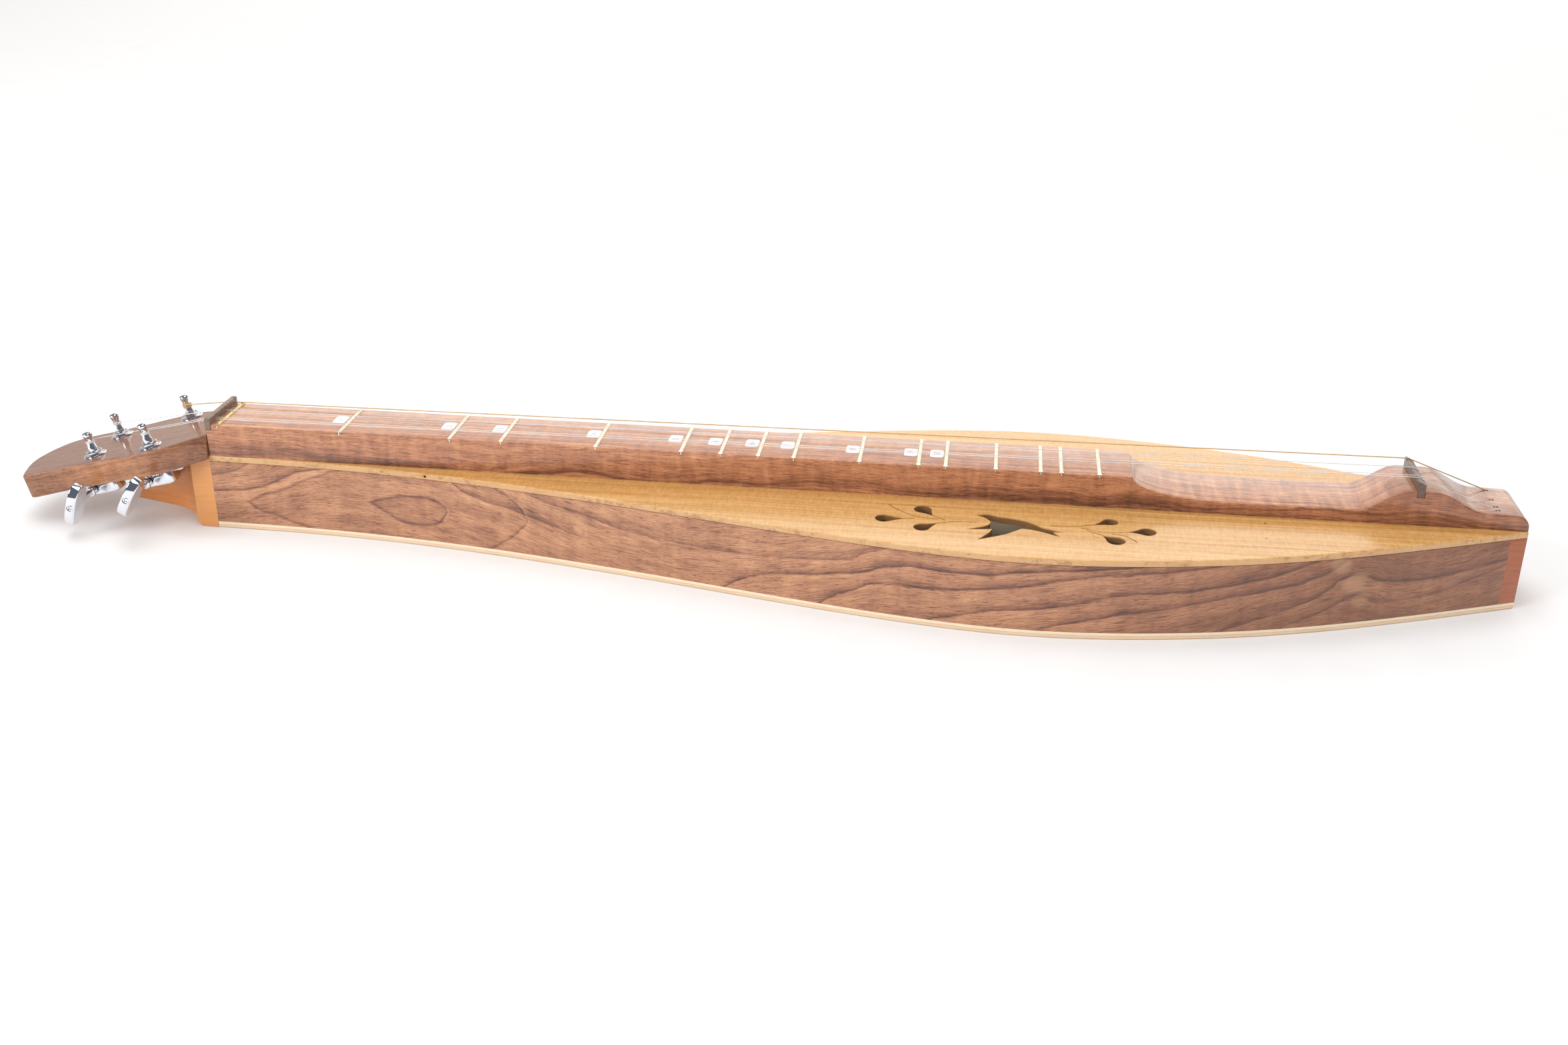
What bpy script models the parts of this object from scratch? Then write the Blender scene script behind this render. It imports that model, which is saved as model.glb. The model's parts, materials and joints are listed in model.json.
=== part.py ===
"""Mountain dulcimer (lap dulcimer), four strings, built piece by piece.

Lengths in this file are millimetres until an object is made; MM turns them into Blender's metres.
+X runs from the head to the tail, -Y is the player's side, +Z is up.  The origin lies on the
underside of the back, on the centre line, halfway along the body.
"""
import math

import bmesh
import bpy
import numpy as np
from mathutils import Matrix, Vector

MM = 0.001
GAP = 0.3            # between pieces that are glued or pressed together
THIN_GAP = 0.1       # under paper and under a resting string

# ---- scale: the vibrating length sets every fret ---------------------------------------------
STRING_LENGTH = 723.9                 # 28 1/2 in from zero fret to saddle
FRETS = (                             # number, semitones above the open string
    ("1", 2), ("2", 4), ("3", 5), ("4", 7), ("5", 9), ("6", 10), ("6_half", 11), ("7", 12),
    ("8", 14), ("9", 16), ("10", 17), ("11", 19), ("12", 21), ("13", 22), ("14", 24))
ZERO_FRET_X = -390.0
SADDLE_X = ZERO_FRET_X + STRING_LENGTH

# ---- body -------------------------------------------------------------------------------------
HEAD_END_X = -398.0
TAIL_END_X = 398.0
WALNUT_TAIL_X = 388.0                 # the sides stop here and the tail block shows
HALF_WIDTHS = (                       # half of the body's width along its length: a long teardrop
    (-398, 20.5), (-330, 22.3), (-270, 27.4), (-200, 37.8), (-130, 51.6), (-50, 69.6),
    (30, 86.2), (110, 95.4), (180, 90.4), (250, 75.9), (320, 52.3), (398, 20.8))
OUTLINE_STEPS = 36
BACK_THICKNESS = 2.1
VENEER_THICKNESS = 1.2
SIDE_THICKNESS = 2.2
TOP_THICKNESS = 4.0
TOP_Z = 49.3                          # upper face of the soundboard
VENEER_Z = BACK_THICKNESS + GAP
SIDE_BOTTOM_Z = VENEER_Z + VENEER_THICKNESS + GAP
SIDE_TOP_Z = TOP_Z - TOP_THICKNESS - GAP
LINING_WIDTH = 6.0
LINING_HEIGHT = 9.0
BRACE_X = (-190.0, 20.0, 210.0)
BRACE_SIZE = (9.0, 8.0)               # along X, and height
BLOCK_HALF_WIDTH = 17.9
HEAD_BLOCK_IN_X = -352.0
TAIL_BLOCK_IN_X = 350.0

# ---- soundhole pattern of the player's side; the far side has it mirrored and narrower -----------
KERF = 0.45                            # half width of the thin saw cuts that the leaves hang on
PATTERN_INNER_Y = 29.0                # its nearest reach to the centre line
FAR_INNER_Y = 23.5                    # the same on the far side
FAR_NARROWING = 0.86
FAR_SHIFT = -8.0                      # along X, towards the head
LEAVES = (                            # saw cut ending at the leaf's tip, far end of the leaf, its radius
    (((83, -52.3), (70, -53.5), (60, -57)), (48, -66.5), 4.8),
    (((65, -52), (61, -49.3), (57, -46)), (48, -34.2), 5.2),
    (((47, -51.8), (44, -52.4), (41, -53)), (24.2, -54.6), 5.0),
    (((125, -51.3), (140, -49.6), (151, -46)), (164, -38.6), 4.5),
    (((143, -52), (156, -55.4), (170, -53.6)), (185.5, -51), 5.1),
    (((146, -54.6), (150.5, -57.4), (155, -60.5)), (166, -70), 5.3))
STEMS = (((31, -34.5), (39, -43), (49, -49.4), (61, -51.6)), ((160, -57.4), (168, -59.8), (174, -67)))
BIRD = (                              # a swallow in flight, beak towards the nut, tail to the right
    (82.5, -42.5), (87, -40.6), (91, -40.4), (96, -42.6), (103, -44), (110, -46.2), (116, -50),
    (122, -55), (134, -59.5), (127, -60), (131, -66), (119, -60), (110, -57.6), (106, -60.5),
    (99, -67), (84, -76), (90, -66), (92, -60.5), (77, -63), (88, -56.5), (91, -51.5),
    (89.5, -47.5), (86.8, -44.6))
LABEL = (97.0, 143.0, 25.0, 60.0)     # x0, x1, y0, y1 of the blank paper inside

# ---- fretboard -----------------------------------------------------------------------------------
BOARD_HALF_WIDTH = 20.5
BOARD_Z = 69.7                        # playing surface
BOARD_BOTTOM_Z = TOP_Z + GAP
STRUM_FLOOR_DEPTH = 12.6
STRUM_START_X = 172.0
STRUM_FLOOR_X = (226.0, 301.0)
HUMP_X = (329.0, 344.0)
HUMP_RISE = 0.5
TAIL_SHELF_X = (373.0, 389.0)
TAIL_SHELF_DEPTH = 10.6
TAIL_ROUND_RADIUS = 7.5
CHANNEL = (-372.0, 150.0, 11.0, 58.5)  # x0, x1, half width, roof height of the hollow underneath
NUT_X = (-398.0, -394.3)
NUT_REBATE = 3.2
NUT_RISE = 4.6
NUT_SLOT_WIDTH = 1.2
FRET_CROWN = (2.1, 0.95)              # width, height
FRET_TANG = (0.6, 1.9)                # width, depth
ZERO_FRET_CROWN = (2.6, 1.25)
FRET_SLOT = (1.2, 2.4)
SADDLE_FACES = (-0.8, 3.6)            # front and rear face, from the line that the strings bear on
SADDLE_TOP = 6.2                      # above the playing surface
SADDLE_SLOT_DEPTH = 4.0

# ---- head ----------------------------------------------------------------------------------------
HEAD_TILT = math.radians(14.5)
HEAD_ROOT = (-399.0, BOARD_Z - 6.2)   # x, z of the plate's upper face at the nut end
HEAD_THICKNESS = 15.6
HEAD_HALF_WIDTHS = (                  # distance from the nut along the plate, half width
    (0, 20.8), (4, 24), (10, 26.8), (19, 30.8), (28, 34), (38, 34.8), (50, 34),
    (65, 32), (80, 31), (95, 30.4), (110, 31), (123, 31.5))
HEAD_TIP = ((127.5, 25.5), (131.8, 14.0), (135.0, 0.0))
HEEL_PLAN = (                         # x, half width of the block below the head
    (-398.3, 20.5), (-411.4, 20.5), (-415, 17), (-419.5, 14), (-426, 11.6), (-436, 10),
    (-447, 9.3), (-456, 9))
HEEL_UNDERSIDE = (                    # x, z: foot, chamfer and the long cove up under the head
    (-409, 0), (-412.3, 4.4), (-415.5, 6.2), (-420, 7.6), (-427, 8.7), (-441, 10), (-456, 12))

# ---- tuners: name, distance along the plate, y, button angle about its shaft ---------------------
TUNERS = (("a", 80.0, -16.2, 58.0), ("b", 37.0, -22.7, 46.0),
          ("c", 78.5, 16.5, -60.0), ("d", 32.0, 26.3, -35.0))
GEAR_TEETH = 14
WORM_OFFSET = 6.8                     # worm axis beyond the post axis, towards the tip
WORM_DEPTH = 4.6                      # below the plate's underside
POST_BORE = 5.0
POST_PROFILE = (                      # radius, height above the plate, from the cap down
    (0, 15.7), (1.5, 15.55), (2.7, 15.0), (3.2, 14.2), (3.1, 13.2), (2.6, 12.1), (2.3, 11.0),
    (2.3, 8.6), (2.6, 6.8), (3.05, 4.6), (3.05, -13.0), (2.0, -13.8))
POST_FOOT = -7.6                      # below the plate's underside
WASHER = (5.1, 7.2, 0.9)
HEX_NUT = (5.2, 2.3)                  # circumradius, height
SLEEVE = (4.5, 3.55, -12.0)           # outer radius, bore, lower end
HOUSING = (10.0, 7.2, 8.8, 0.9, 4.5)  # half length, half width, depth, wall, corner radius
LUG = (7.0, 3.2, 2.0, 1.5)            # reach past the housing, half width, thickness, hole
PILOT_HOLE = (1.4, 9.6)               # radius, depth of the mounting screw's hole in the plate
BUTTON = (13.8, 7.4, 6.2)             # half length, half depth, thickness
BUTTON_CENTRE = 29.6                  # from the post axis, outwards
SPIGOT = (1.5, 25.5)                  # radius, tip
BUTTON_BORE = (1.9, 26.2)
BUTTON_SCREW_BORE = 1.35
WINDING = (2.3, 3.3, 9.8)             # inner and outer radius and height of the wound string

# ---- strings: name, radius, y at nut, at saddle, at tail hole, tuner, side of the post -----------
STRINGS = (("string_melody_outer", 0.20, -12.5, -12.4, -14.0, "b", 1),
           ("string_melody_inner", 0.20, -9.5, -9.4, -8.6, "a", 1),
           ("string_middle", 0.23, 3.5, 2.8, 1.8, "c", -1),
           ("string_bass", 0.36, 17.8, 16.6, 15.6, "d", -1))
NUT_STRING_Z = 1.2                    # underside of the strings at nut and zero fret
TAIL_HOLE_X = 381.0
TAIL_EXIT_Z = 43.0                    # where the string holes leave the tail face
STRING_HOLE_RADIUS = 1.0
BALL = (1.9, 3.2)                     # radius and length of a ball end
BALL_POCKET = (2.5, 3.4)              # radius, depth
TUBE_SIDES = 2                        # bevel resolution of wires

MATERIALS = {
    "walnut": ((0.33, 0.17, 0.10), 0.32, 0.0),
    "board_walnut": ((0.45, 0.25, 0.15), 0.34, 0.0),
    "top_wood": ((0.78, 0.50, 0.22), 0.35, 0.0),
    "cherry": ((0.55, 0.25, 0.10), 0.35, 0.0),
    "maple": ((0.83, 0.70, 0.50), 0.4, 0.0),
    "spruce": ((0.72, 0.57, 0.38), 0.6, 0.0),
    "ebonized": ((0.10, 0.07, 0.055), 0.4, 0.0),
    "brass": ((0.80, 0.62, 0.28), 0.25, 1.0),
    "fret_metal": ((0.78, 0.70, 0.48), 0.25, 1.0),
    "chrome": ((0.83, 0.84, 0.86), 0.08, 1.0),
    "steel": ((0.70, 0.70, 0.70), 0.22, 1.0),
    "bronze": ((0.70, 0.43, 0.18), 0.3, 1.0),
    "paper": ((0.86, 0.84, 0.78), 0.8, 0.0),
}


# ---- helpers ---------------------------------------------------------------------------------------
def collection(name):
    new = bpy.data.collections.new(name)
    bpy.context.scene.collection.children.link(new)
    return new


def material(name):
    if name in bpy.data.materials:
        return bpy.data.materials[name]
    colour, roughness, metallic = MATERIALS[name]
    mat = bpy.data.materials.new(name)
    mat.use_nodes = True
    shader = mat.node_tree.nodes["Principled BSDF"]
    shader.inputs["Base Color"].default_value = (*colour, 1.0)
    shader.inputs["Roughness"].default_value = roughness
    shader.inputs["Metallic"].default_value = metallic
    return mat


def add_object(name, mesh, parent=None):
    obj = bpy.data.objects.new(name, mesh)
    PARTS.objects.link(obj)
    obj.parent = parent
    return obj


def finish(obj, mat, sharp_degrees=32):
    obj.data.materials.clear()
    obj.data.materials.append(material(mat))
    obj.data.shade_smooth()
    obj.data.set_sharp_from_angle(angle=math.radians(sharp_degrees))
    return obj


def make_cutter(obj):
    PARTS.objects.unlink(obj)
    CUTTERS.objects.link(obj)
    obj.hide_render = True
    obj.display_type = "WIRE"
    return obj


def mesh_of(obj):
    """The object's evaluated mesh, in world space and welded, as bmesh."""
    bpy.context.view_layer.update()
    graph = bpy.context.evaluated_depsgraph_get()
    mesh = bpy.data.meshes.new_from_object(obj.evaluated_get(graph))
    mesh.transform(obj.matrix_world)
    bm = bmesh.new()
    bm.from_mesh(mesh)
    bpy.data.meshes.remove(mesh)
    bmesh.ops.remove_doubles(bm, verts=bm.verts, dist=0.00001)
    return bm


def solid_from_curve(obj):
    """Turns a curve object into a welded mesh object in the same place, with the same parent."""
    bpy.context.view_layer.update()
    graph = bpy.context.evaluated_depsgraph_get()
    mesh = bpy.data.meshes.new_from_object(obj.evaluated_get(graph))
    bm = bmesh.new()
    bm.from_mesh(mesh)
    bmesh.ops.remove_doubles(bm, verts=bm.verts, dist=0.00001)
    bmesh.ops.recalc_face_normals(bm, faces=bm.faces)
    bm.to_mesh(mesh)
    bm.free()
    name, parent, local, curve = obj.name, obj.parent, obj.matrix_local.copy(), obj.data
    bpy.data.objects.remove(obj)
    bpy.data.curves.remove(curve)
    new = add_object(name, mesh, parent)
    new.matrix_local = local
    return new


def joined(name, objects):
    """One object made of several separate closed bodies."""
    total = bmesh.new()
    for obj in objects:
        part = mesh_of(obj)
        mesh = bpy.data.meshes.new("piece")
        part.to_mesh(mesh)
        part.free()
        total.from_mesh(mesh)
        bpy.data.meshes.remove(mesh)
        bpy.data.objects.remove(obj)
    mesh = bpy.data.meshes.new(name)
    total.to_mesh(mesh)
    total.free()
    return add_object(name, mesh)


def plate(name, loops, low, high, parent=None, upright=False):
    """A flat plate: closed loops in the XY plane (or XZ if upright), inner loops cut holes."""
    curve = bpy.data.curves.new(name, "CURVE")
    curve.dimensions = "2D"
    curve.fill_mode = "BOTH"
    curve.extrude = (high - low) / 2 * MM
    for loop in loops:
        spline = curve.splines.new("POLY")
        spline.points.add(len(loop) - 1)
        for point, (u, v) in zip(spline.points, loop):
            point.co = (u * MM, v * MM, 0, 1)
        spline.use_cyclic_u = True
    obj = add_object(name, curve, parent)
    middle = (low + high) / 2 * MM
    if upright:
        obj.rotation_euler.x = math.pi / 2
        obj.location.y = middle
    else:
        obj.location.z = middle
    return solid_from_curve(obj)


def box(name, x, y, z, parent=None):
    mesh = bpy.data.meshes.new(name)
    bm = bmesh.new()
    bmesh.ops.create_cube(bm, size=1.0)
    size = Vector((x[1] - x[0], y[1] - y[0], z[1] - z[0])) * MM
    centre = Vector((x[0] + x[1], y[0] + y[1], z[0] + z[1])) * MM / 2
    bmesh.ops.transform(bm, matrix=Matrix.Translation(centre) @ Matrix.Diagonal((*size, 1.0)), verts=bm.verts)
    bm.to_mesh(mesh)
    bm.free()
    return add_object(name, mesh, parent)


def rod(name, start, end, radius, sides=12, parent=None):
    """A straight cylinder between two points."""
    start, end = Vector(start) * MM, Vector(end) * MM
    mesh = bpy.data.meshes.new(name)
    bm = bmesh.new()
    bmesh.ops.create_cone(bm, cap_ends=True, segments=sides, radius1=radius * MM, radius2=radius * MM,
                          depth=(end - start).length)
    turn = (end - start).to_track_quat("Z", "Y").to_matrix().to_4x4()
    bmesh.ops.transform(bm, matrix=Matrix.Translation((start + end) / 2) @ turn, verts=bm.verts)
    bm.to_mesh(mesh)
    bm.free()
    return add_object(name, mesh, parent)


def turned(name, profile, steps=20, closed=False, parent=None):
    """A solid of revolution about Z from a profile of (radius, height), top to bottom."""
    mesh = bpy.data.meshes.new(name)
    edges = [(i, i + 1) for i in range(len(profile) - 1)]
    if closed:
        edges.append((len(profile) - 1, 0))
    mesh.from_pydata([(r * MM, 0, z * MM) for r, z in profile], edges, [])
    obj = add_object(name, mesh, parent)
    screw = obj.modifiers.new("turn", "SCREW")
    screw.axis = "Z"
    screw.steps = steps
    screw.render_steps = steps
    screw.use_merge_vertices = True
    screw.merge_threshold = 0.00001
    screw.use_smooth_shade = True
    return obj


def wire(name, points, radius, parent=None):
    curve = bpy.data.curves.new(name, "CURVE")
    curve.dimensions = "3D"
    curve.bevel_depth = radius * MM
    curve.bevel_resolution = TUBE_SIDES
    curve.use_fill_caps = True
    spline = curve.splines.new("POLY")
    spline.points.add(len(points) - 1)
    for point, co in zip(spline.points, points):
        point.co = (*(Vector(co) * MM), 1)
    return solid_from_curve(add_object(name, curve, parent))


def boolean(obj, other, operation="DIFFERENCE"):
    mod = obj.modifiers.new(operation.lower(), "BOOLEAN")
    mod.operation = operation
    mod.solver = "EXACT"
    mod.object = make_cutter(other)
    return obj


def bevel(obj, width, segments=1, angle=40):
    mod = obj.modifiers.new("edge", "BEVEL")
    mod.width = width * MM
    mod.segments = segments
    mod.limit_method = "ANGLE"
    mod.angle_limit = math.radians(angle)
    return obj


def natural_spline(points):
    """A smooth curve y(x) through the points, with no bending at its ends."""
    x, y = np.array(points, float).T
    step = np.diff(x)
    slope = np.diff(y) / step
    size = len(x)
    matrix = np.eye(size)
    right = np.zeros(size)
    for i in range(1, size - 1):
        matrix[i, i - 1:i + 2] = step[i - 1], 2 * (step[i - 1] + step[i]), step[i]
        right[i] = 6 * (slope[i] - slope[i - 1])
    bend = np.linalg.solve(matrix, right)

    def value(at):
        i = int(np.clip(np.searchsorted(x, at) - 1, 0, size - 2))
        a, b, h = x[i + 1] - at, at - x[i], step[i]
        return (bend[i] * a ** 3 + bend[i + 1] * b ** 3) / (6 * h) \
            + (y[i] / h - bend[i] * h / 6) * a + (y[i + 1] / h - bend[i + 1] * h / 6) * b
    return value


half_width = natural_spline(HALF_WIDTHS)


def inset_half_width(x, inset):
    """Half width of the body's outline moved inwards, square to the outline."""
    slope = (half_width(x + 1) - half_width(x - 1)) / 2
    return half_width(x) - inset * math.hypot(1, slope)


def stations(start, end, steps=OUTLINE_STEPS):
    return [start + (end - start) * i / steps for i in range(steps + 1)]


def fret_x(semitones):
    return ZERO_FRET_X + STRING_LENGTH * (1 - 2 ** (-semitones / 12))


def ease(start, end, count):
    """Points of a smooth S curve from start to end, both given as (x, z)."""
    points = []
    for i in range(count + 1):
        t = i / count
        s = t * t * (3 - 2 * t)
        points.append((start[0] + (end[0] - start[0]) * t, start[1] + (end[1] - start[1]) * s))
    return points


# ---- body ------------------------------------------------------------------------------------------
def body_outline(inset=0.0, start=HEAD_END_X, end=TAIL_END_X):
    xs = stations(start, end)
    near = [(x, -inset_half_width(x, inset)) for x in xs]
    far = [(x, inset_half_width(x, inset)) for x in reversed(xs)]
    return near + far


def band(points, half_widths):
    """The closed outline of a band along the points, which is as wide at each as it says."""
    left, right = [], []
    for i, ((x, y), half) in enumerate(zip(points, half_widths)):
        before, after = points[max(i - 1, 0)], points[min(i + 1, len(points) - 1)]
        length = math.dist(before, after)
        across = (before[1] - after[1]) / length * half, (after[0] - before[0]) / length * half
        left.append((x + across[0], y + across[1]))
        right.append((x - across[0], y - across[1]))
    return left + right[::-1]


def leaf(cut, end, radius):
    """A saw cut that opens into a leaf: straight sides from its tip, and a round far end."""
    tip = cut[-1]
    length = math.dist(tip, end)
    centre = length - radius
    touch = centre - radius ** 2 / centre         # where the straight sides meet the round end
    widest = math.sqrt(radius ** 2 - (touch - centre) ** 2)
    along, halves = [touch / 2, touch], [widest * 0.46, widest]
    start = math.acos((touch - centre) / radius)
    for turn in (0.75, 0.5, 0.25, 0.08):
        along.append(centre + radius * math.cos(start * turn))
        halves.append(radius * math.sin(start * turn))
    u = [(end[k] - tip[k]) / length for k in (0, 1)]
    inside = [(tip[0] + u[0] * a, tip[1] + u[1] * a) for a in along]
    return band(list(cut) + inside, [KERF] * len(cut) + halves)


def soundholes():
    stems = [band(points, [KERF] * len(points)) for points in STEMS]
    one_side = [leaf(*values) for values in LEAVES] + stems + [BIRD]
    return one_side + [far_side(loop) for loop in one_side]


def far_side(loop):
    """A loop of the player's side, mirrored and set closer to the fretboard."""
    return [(x + FAR_SHIFT, FAR_INNER_Y + (-y - PATTERN_INNER_Y) * FAR_NARROWING) for x, y in loop]


def string_hole_cutters():
    cutters = []
    for name, _, _, _, tail_y, _, _ in STRINGS:
        top = (TAIL_HOLE_X - 3, tail_y, board_top(TAIL_HOLE_X) + 3 * string_dive())
        low = (TAIL_END_X + 3, tail_y, TAIL_EXIT_Z - 3 * string_dive())
        cutters.append(rod("hole_" + name, top, low, STRING_HOLE_RADIUS, 8))
        pocket = ((TAIL_END_X - BALL_POCKET[1], tail_y, TAIL_EXIT_Z), (TAIL_END_X + 3, tail_y, TAIL_EXIT_Z))
        cutters.append(rod("pocket_" + name, *pocket, BALL_POCKET[0], 12))
    return cutters


def string_dive():
    """Slope of the string holes through the tail, a positive number."""
    return (board_top(TAIL_HOLE_X) - TAIL_EXIT_Z) / (TAIL_END_X - TAIL_HOLE_X)


def cut_string_holes(obj):
    for cutter in string_hole_cutters():
        boolean(obj, cutter)
    return obj


def make_soundboard():
    obj = plate("soundboard", [body_outline()] + soundholes(), TOP_Z - TOP_THICKNESS, TOP_Z)
    finish(cut_string_holes(obj), "top_wood")


def make_back():
    finish(plate("back_plate", [body_outline()], 0, BACK_THICKNESS), "cherry")
    finish(plate("back_veneer", [body_outline()], VENEER_Z, VENEER_Z + VENEER_THICKNESS), "maple")


def strip(name, side, outer, inner, start, end, low, high, mat):
    """A bent strip that follows the body's outline; side is -1 for the player, 1 for the far side."""
    xs = stations(start, end)
    loop = [(x, side * inset_half_width(x, outer)) for x in xs]
    loop += [(x, side * inset_half_width(x, inner)) for x in reversed(xs)]
    finish(plate(name, [loop], low, high), mat)


def make_sides():
    for name, side in (("player", -1), ("far", 1)):
        strip("side_" + name, side, 0, SIDE_THICKNESS, HEAD_END_X, WALNUT_TAIL_X,
              SIDE_BOTTOM_Z, SIDE_TOP_Z, "walnut")
        inner = SIDE_THICKNESS + GAP
        start, end = HEAD_BLOCK_IN_X + 2, TAIL_BLOCK_IN_X - 2
        low = SIDE_BOTTOM_Z
        high = SIDE_TOP_Z
        strip("lining_top_" + name, side, inner, inner + LINING_WIDTH, start, end,
              high - LINING_HEIGHT, high, "spruce")
        strip("lining_back_" + name, side, inner, inner + LINING_WIDTH, start, end,
              low, low + LINING_HEIGHT, "spruce")


def make_braces():
    for number, x in enumerate(BRACE_X, 1):
        reach = inset_half_width(x, SIDE_THICKNESS + 2 * GAP + LINING_WIDTH) - 2.5
        span = (x - BRACE_SIZE[0] / 2, x + BRACE_SIZE[0] / 2)
        low = SIDE_BOTTOM_Z
        brace = box(f"back_brace_{number}", span, (-reach, reach), (low, low + BRACE_SIZE[1]))
        finish(brace, "spruce")


def underside_of_head(x):
    """Height of the headstock's lower face above the back, at x."""
    drop = (HEAD_ROOT[0] - x) * math.tan(HEAD_TILT)
    return HEAD_ROOT[1] - drop - HEAD_THICKNESS / math.cos(HEAD_TILT)


def make_head_block():
    """The block between the sides, which goes on outwards as a slim heel below the headstock."""
    outer_x = HEEL_PLAN[0][0]
    heel_end = HEEL_PLAN[-1][0]
    profile = [(HEAD_BLOCK_IN_X, SIDE_TOP_Z), (outer_x, SIDE_TOP_Z),
               (outer_x, underside_of_head(outer_x) - GAP), (heel_end + 4, underside_of_head(heel_end + 4) - GAP)]
    profile += reversed(HEEL_UNDERSIDE)
    profile += [(outer_x, 0), (outer_x, SIDE_BOTTOM_Z), (HEAD_BLOCK_IN_X, SIDE_BOTTOM_Z)]
    obj = plate("head_block", [profile], -25, 25, upright=True)
    upper = [(HEAD_BLOCK_IN_X + 5, BLOCK_HALF_WIDTH), (outer_x, BLOCK_HALF_WIDTH)] + list(HEEL_PLAN)
    upper.append((heel_end - 5, HEEL_PLAN[-1][1]))
    lower = [(x, -y) for x, y in reversed(upper)]
    plan = plate("heel_plan", [upper + lower], -5, 60)
    finish(boolean(obj, plan, "INTERSECT"), "cherry")


def make_tail_block():
    xs = stations(WALNUT_TAIL_X + GAP, TAIL_END_X, 2)
    upper = [(TAIL_BLOCK_IN_X, BLOCK_HALF_WIDTH), (xs[0], BLOCK_HALF_WIDTH)]
    upper += [(x, half_width(x)) for x in xs]
    lower = [(x, -y) for x, y in reversed(upper)]
    obj = plate("tail_block", [upper + lower], SIDE_BOTTOM_Z, SIDE_TOP_Z)
    finish(cut_string_holes(obj), "cherry")


def make_label():
    x0, x1, y0, y1 = LABEL
    low = VENEER_Z + VENEER_THICKNESS + THIN_GAP
    finish(box("paper_label", (x0, x1), (y0, y1), (low, low + 0.2)), "paper")


# ---- fretboard ---------------------------------------------------------------------------------------
def board_profile():
    """Upper edge of the fretboard from nut to tail: flat, strum hollow, saddle hump, tail shelf."""
    top, floor = BOARD_Z, BOARD_Z - STRUM_FLOOR_DEPTH
    shelf = BOARD_Z - TAIL_SHELF_DEPTH
    points = [(STRUM_START_X, top)]
    reach = STRUM_FLOOR_X[0] - STRUM_START_X
    for i in range(1, 8):             # a quarter of an ellipse down to the floor of the hollow
        turn = math.radians(90 * i / 7)
        points.append((STRUM_FLOOR_X[0] - reach * math.cos(turn), top - STRUM_FLOOR_DEPTH * math.sin(turn)))
    points.append(((STRUM_FLOOR_X[0] + STRUM_FLOOR_X[1]) / 2, floor - 0.2))
    points += ease((STRUM_FLOOR_X[1], floor), (HUMP_X[0], top + HUMP_RISE), 8)
    points += ease((HUMP_X[1], top + HUMP_RISE), (TAIL_SHELF_X[0], shelf), 8)
    points.append((TAIL_SHELF_X[1], shelf - 0.6))
    for i in range(1, 5):             # rounded end down to the soundboard
        turn = math.radians(90 * i / 4)
        points.append((TAIL_END_X - TAIL_ROUND_RADIUS * (1 - math.sin(turn)),
                       shelf - 0.6 - TAIL_ROUND_RADIUS * (1 - math.cos(turn))))
    return points


def board_top(x):
    """Height of the fretboard's upper surface at x."""
    points = [(HEAD_END_X, BOARD_Z)] + board_profile()
    return float(np.interp(x, [p[0] for p in points], [p[1] for p in points]))


def make_fretboard():
    rebate = NUT_X[1] + GAP
    low = BOARD_Z - NUT_REBATE - GAP
    profile = [(HEAD_END_X, BOARD_BOTTOM_Z), (HEAD_END_X, low), (rebate, low), (rebate, BOARD_Z)]
    profile += board_profile()
    profile.append((TAIL_END_X, BOARD_BOTTOM_Z))
    obj = plate("fretboard", [profile], -BOARD_HALF_WIDTH, BOARD_HALF_WIDTH, upright=True)
    x0, x1, half, roof = CHANNEL
    boolean(obj, box("channel", (x0, x1), (-half, half), (BOARD_BOTTOM_Z - 5, roof)))
    slots = []
    across = (-BOARD_HALF_WIDTH - 5, BOARD_HALF_WIDTH + 5)
    for x in [ZERO_FRET_X] + [fret_x(semitones) for _, semitones in FRETS]:
        slots.append(box("slot", (x - FRET_SLOT[0] / 2, x + FRET_SLOT[0] / 2), across,
                         (BOARD_Z - FRET_SLOT[1], BOARD_Z + 5)))
    front, rear = (SADDLE_X + face for face in SADDLE_FACES)
    slots.append(box("slot", (front - GAP, rear + GAP), across,
                     (BOARD_Z + HUMP_RISE - SADDLE_SLOT_DEPTH, BOARD_Z + 5)))
    boolean(obj, joined("fret_slots", slots))
    finish(cut_string_holes(obj), "board_walnut")


def fret(name, x, crown):
    """A T-shaped fret: a rounded crown over a thin tang."""
    base = BOARD_Z + THIN_GAP
    tang_half, depth = FRET_TANG[0] / 2, FRET_TANG[1]
    loop = [(x - tang_half, base - depth), (x + tang_half, base - depth), (x + tang_half, base)]
    for i in range(6):
        turn = math.radians(180 * i / 5)
        loop.append((x + crown[0] / 2 * math.cos(turn), base + (crown[1] - THIN_GAP) * math.sin(turn)))
    loop.append((x - tang_half, base))
    reach = BOARD_HALF_WIDTH - 0.2
    return plate(name, [loop], -reach, reach, upright=True)


def make_frets():
    for number, semitones in FRETS:
        finish(fret("fret_" + number, fret_x(semitones), FRET_CROWN), "fret_metal")
    finish(fret("zero_fret", ZERO_FRET_X, ZERO_FRET_CROWN), "brass")


def make_nut():
    low, high = BOARD_Z - NUT_REBATE, BOARD_Z + NUT_RISE
    obj = box("nut", NUT_X, (-BOARD_HALF_WIDTH, BOARD_HALF_WIDTH), (low, high))
    slots = []
    for _, radius, nut_y, _, _, _, _ in STRINGS:
        half = NUT_SLOT_WIDTH / 2
        floor = BOARD_Z + NUT_STRING_Z - 0.4
        slots.append(box("slot", (NUT_X[0] - 5, NUT_X[1] + 5), (nut_y - half, nut_y + half), (floor, high + 5)))
    finish(boolean(obj, joined("nut_slots", slots)), "ebonized")


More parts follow.
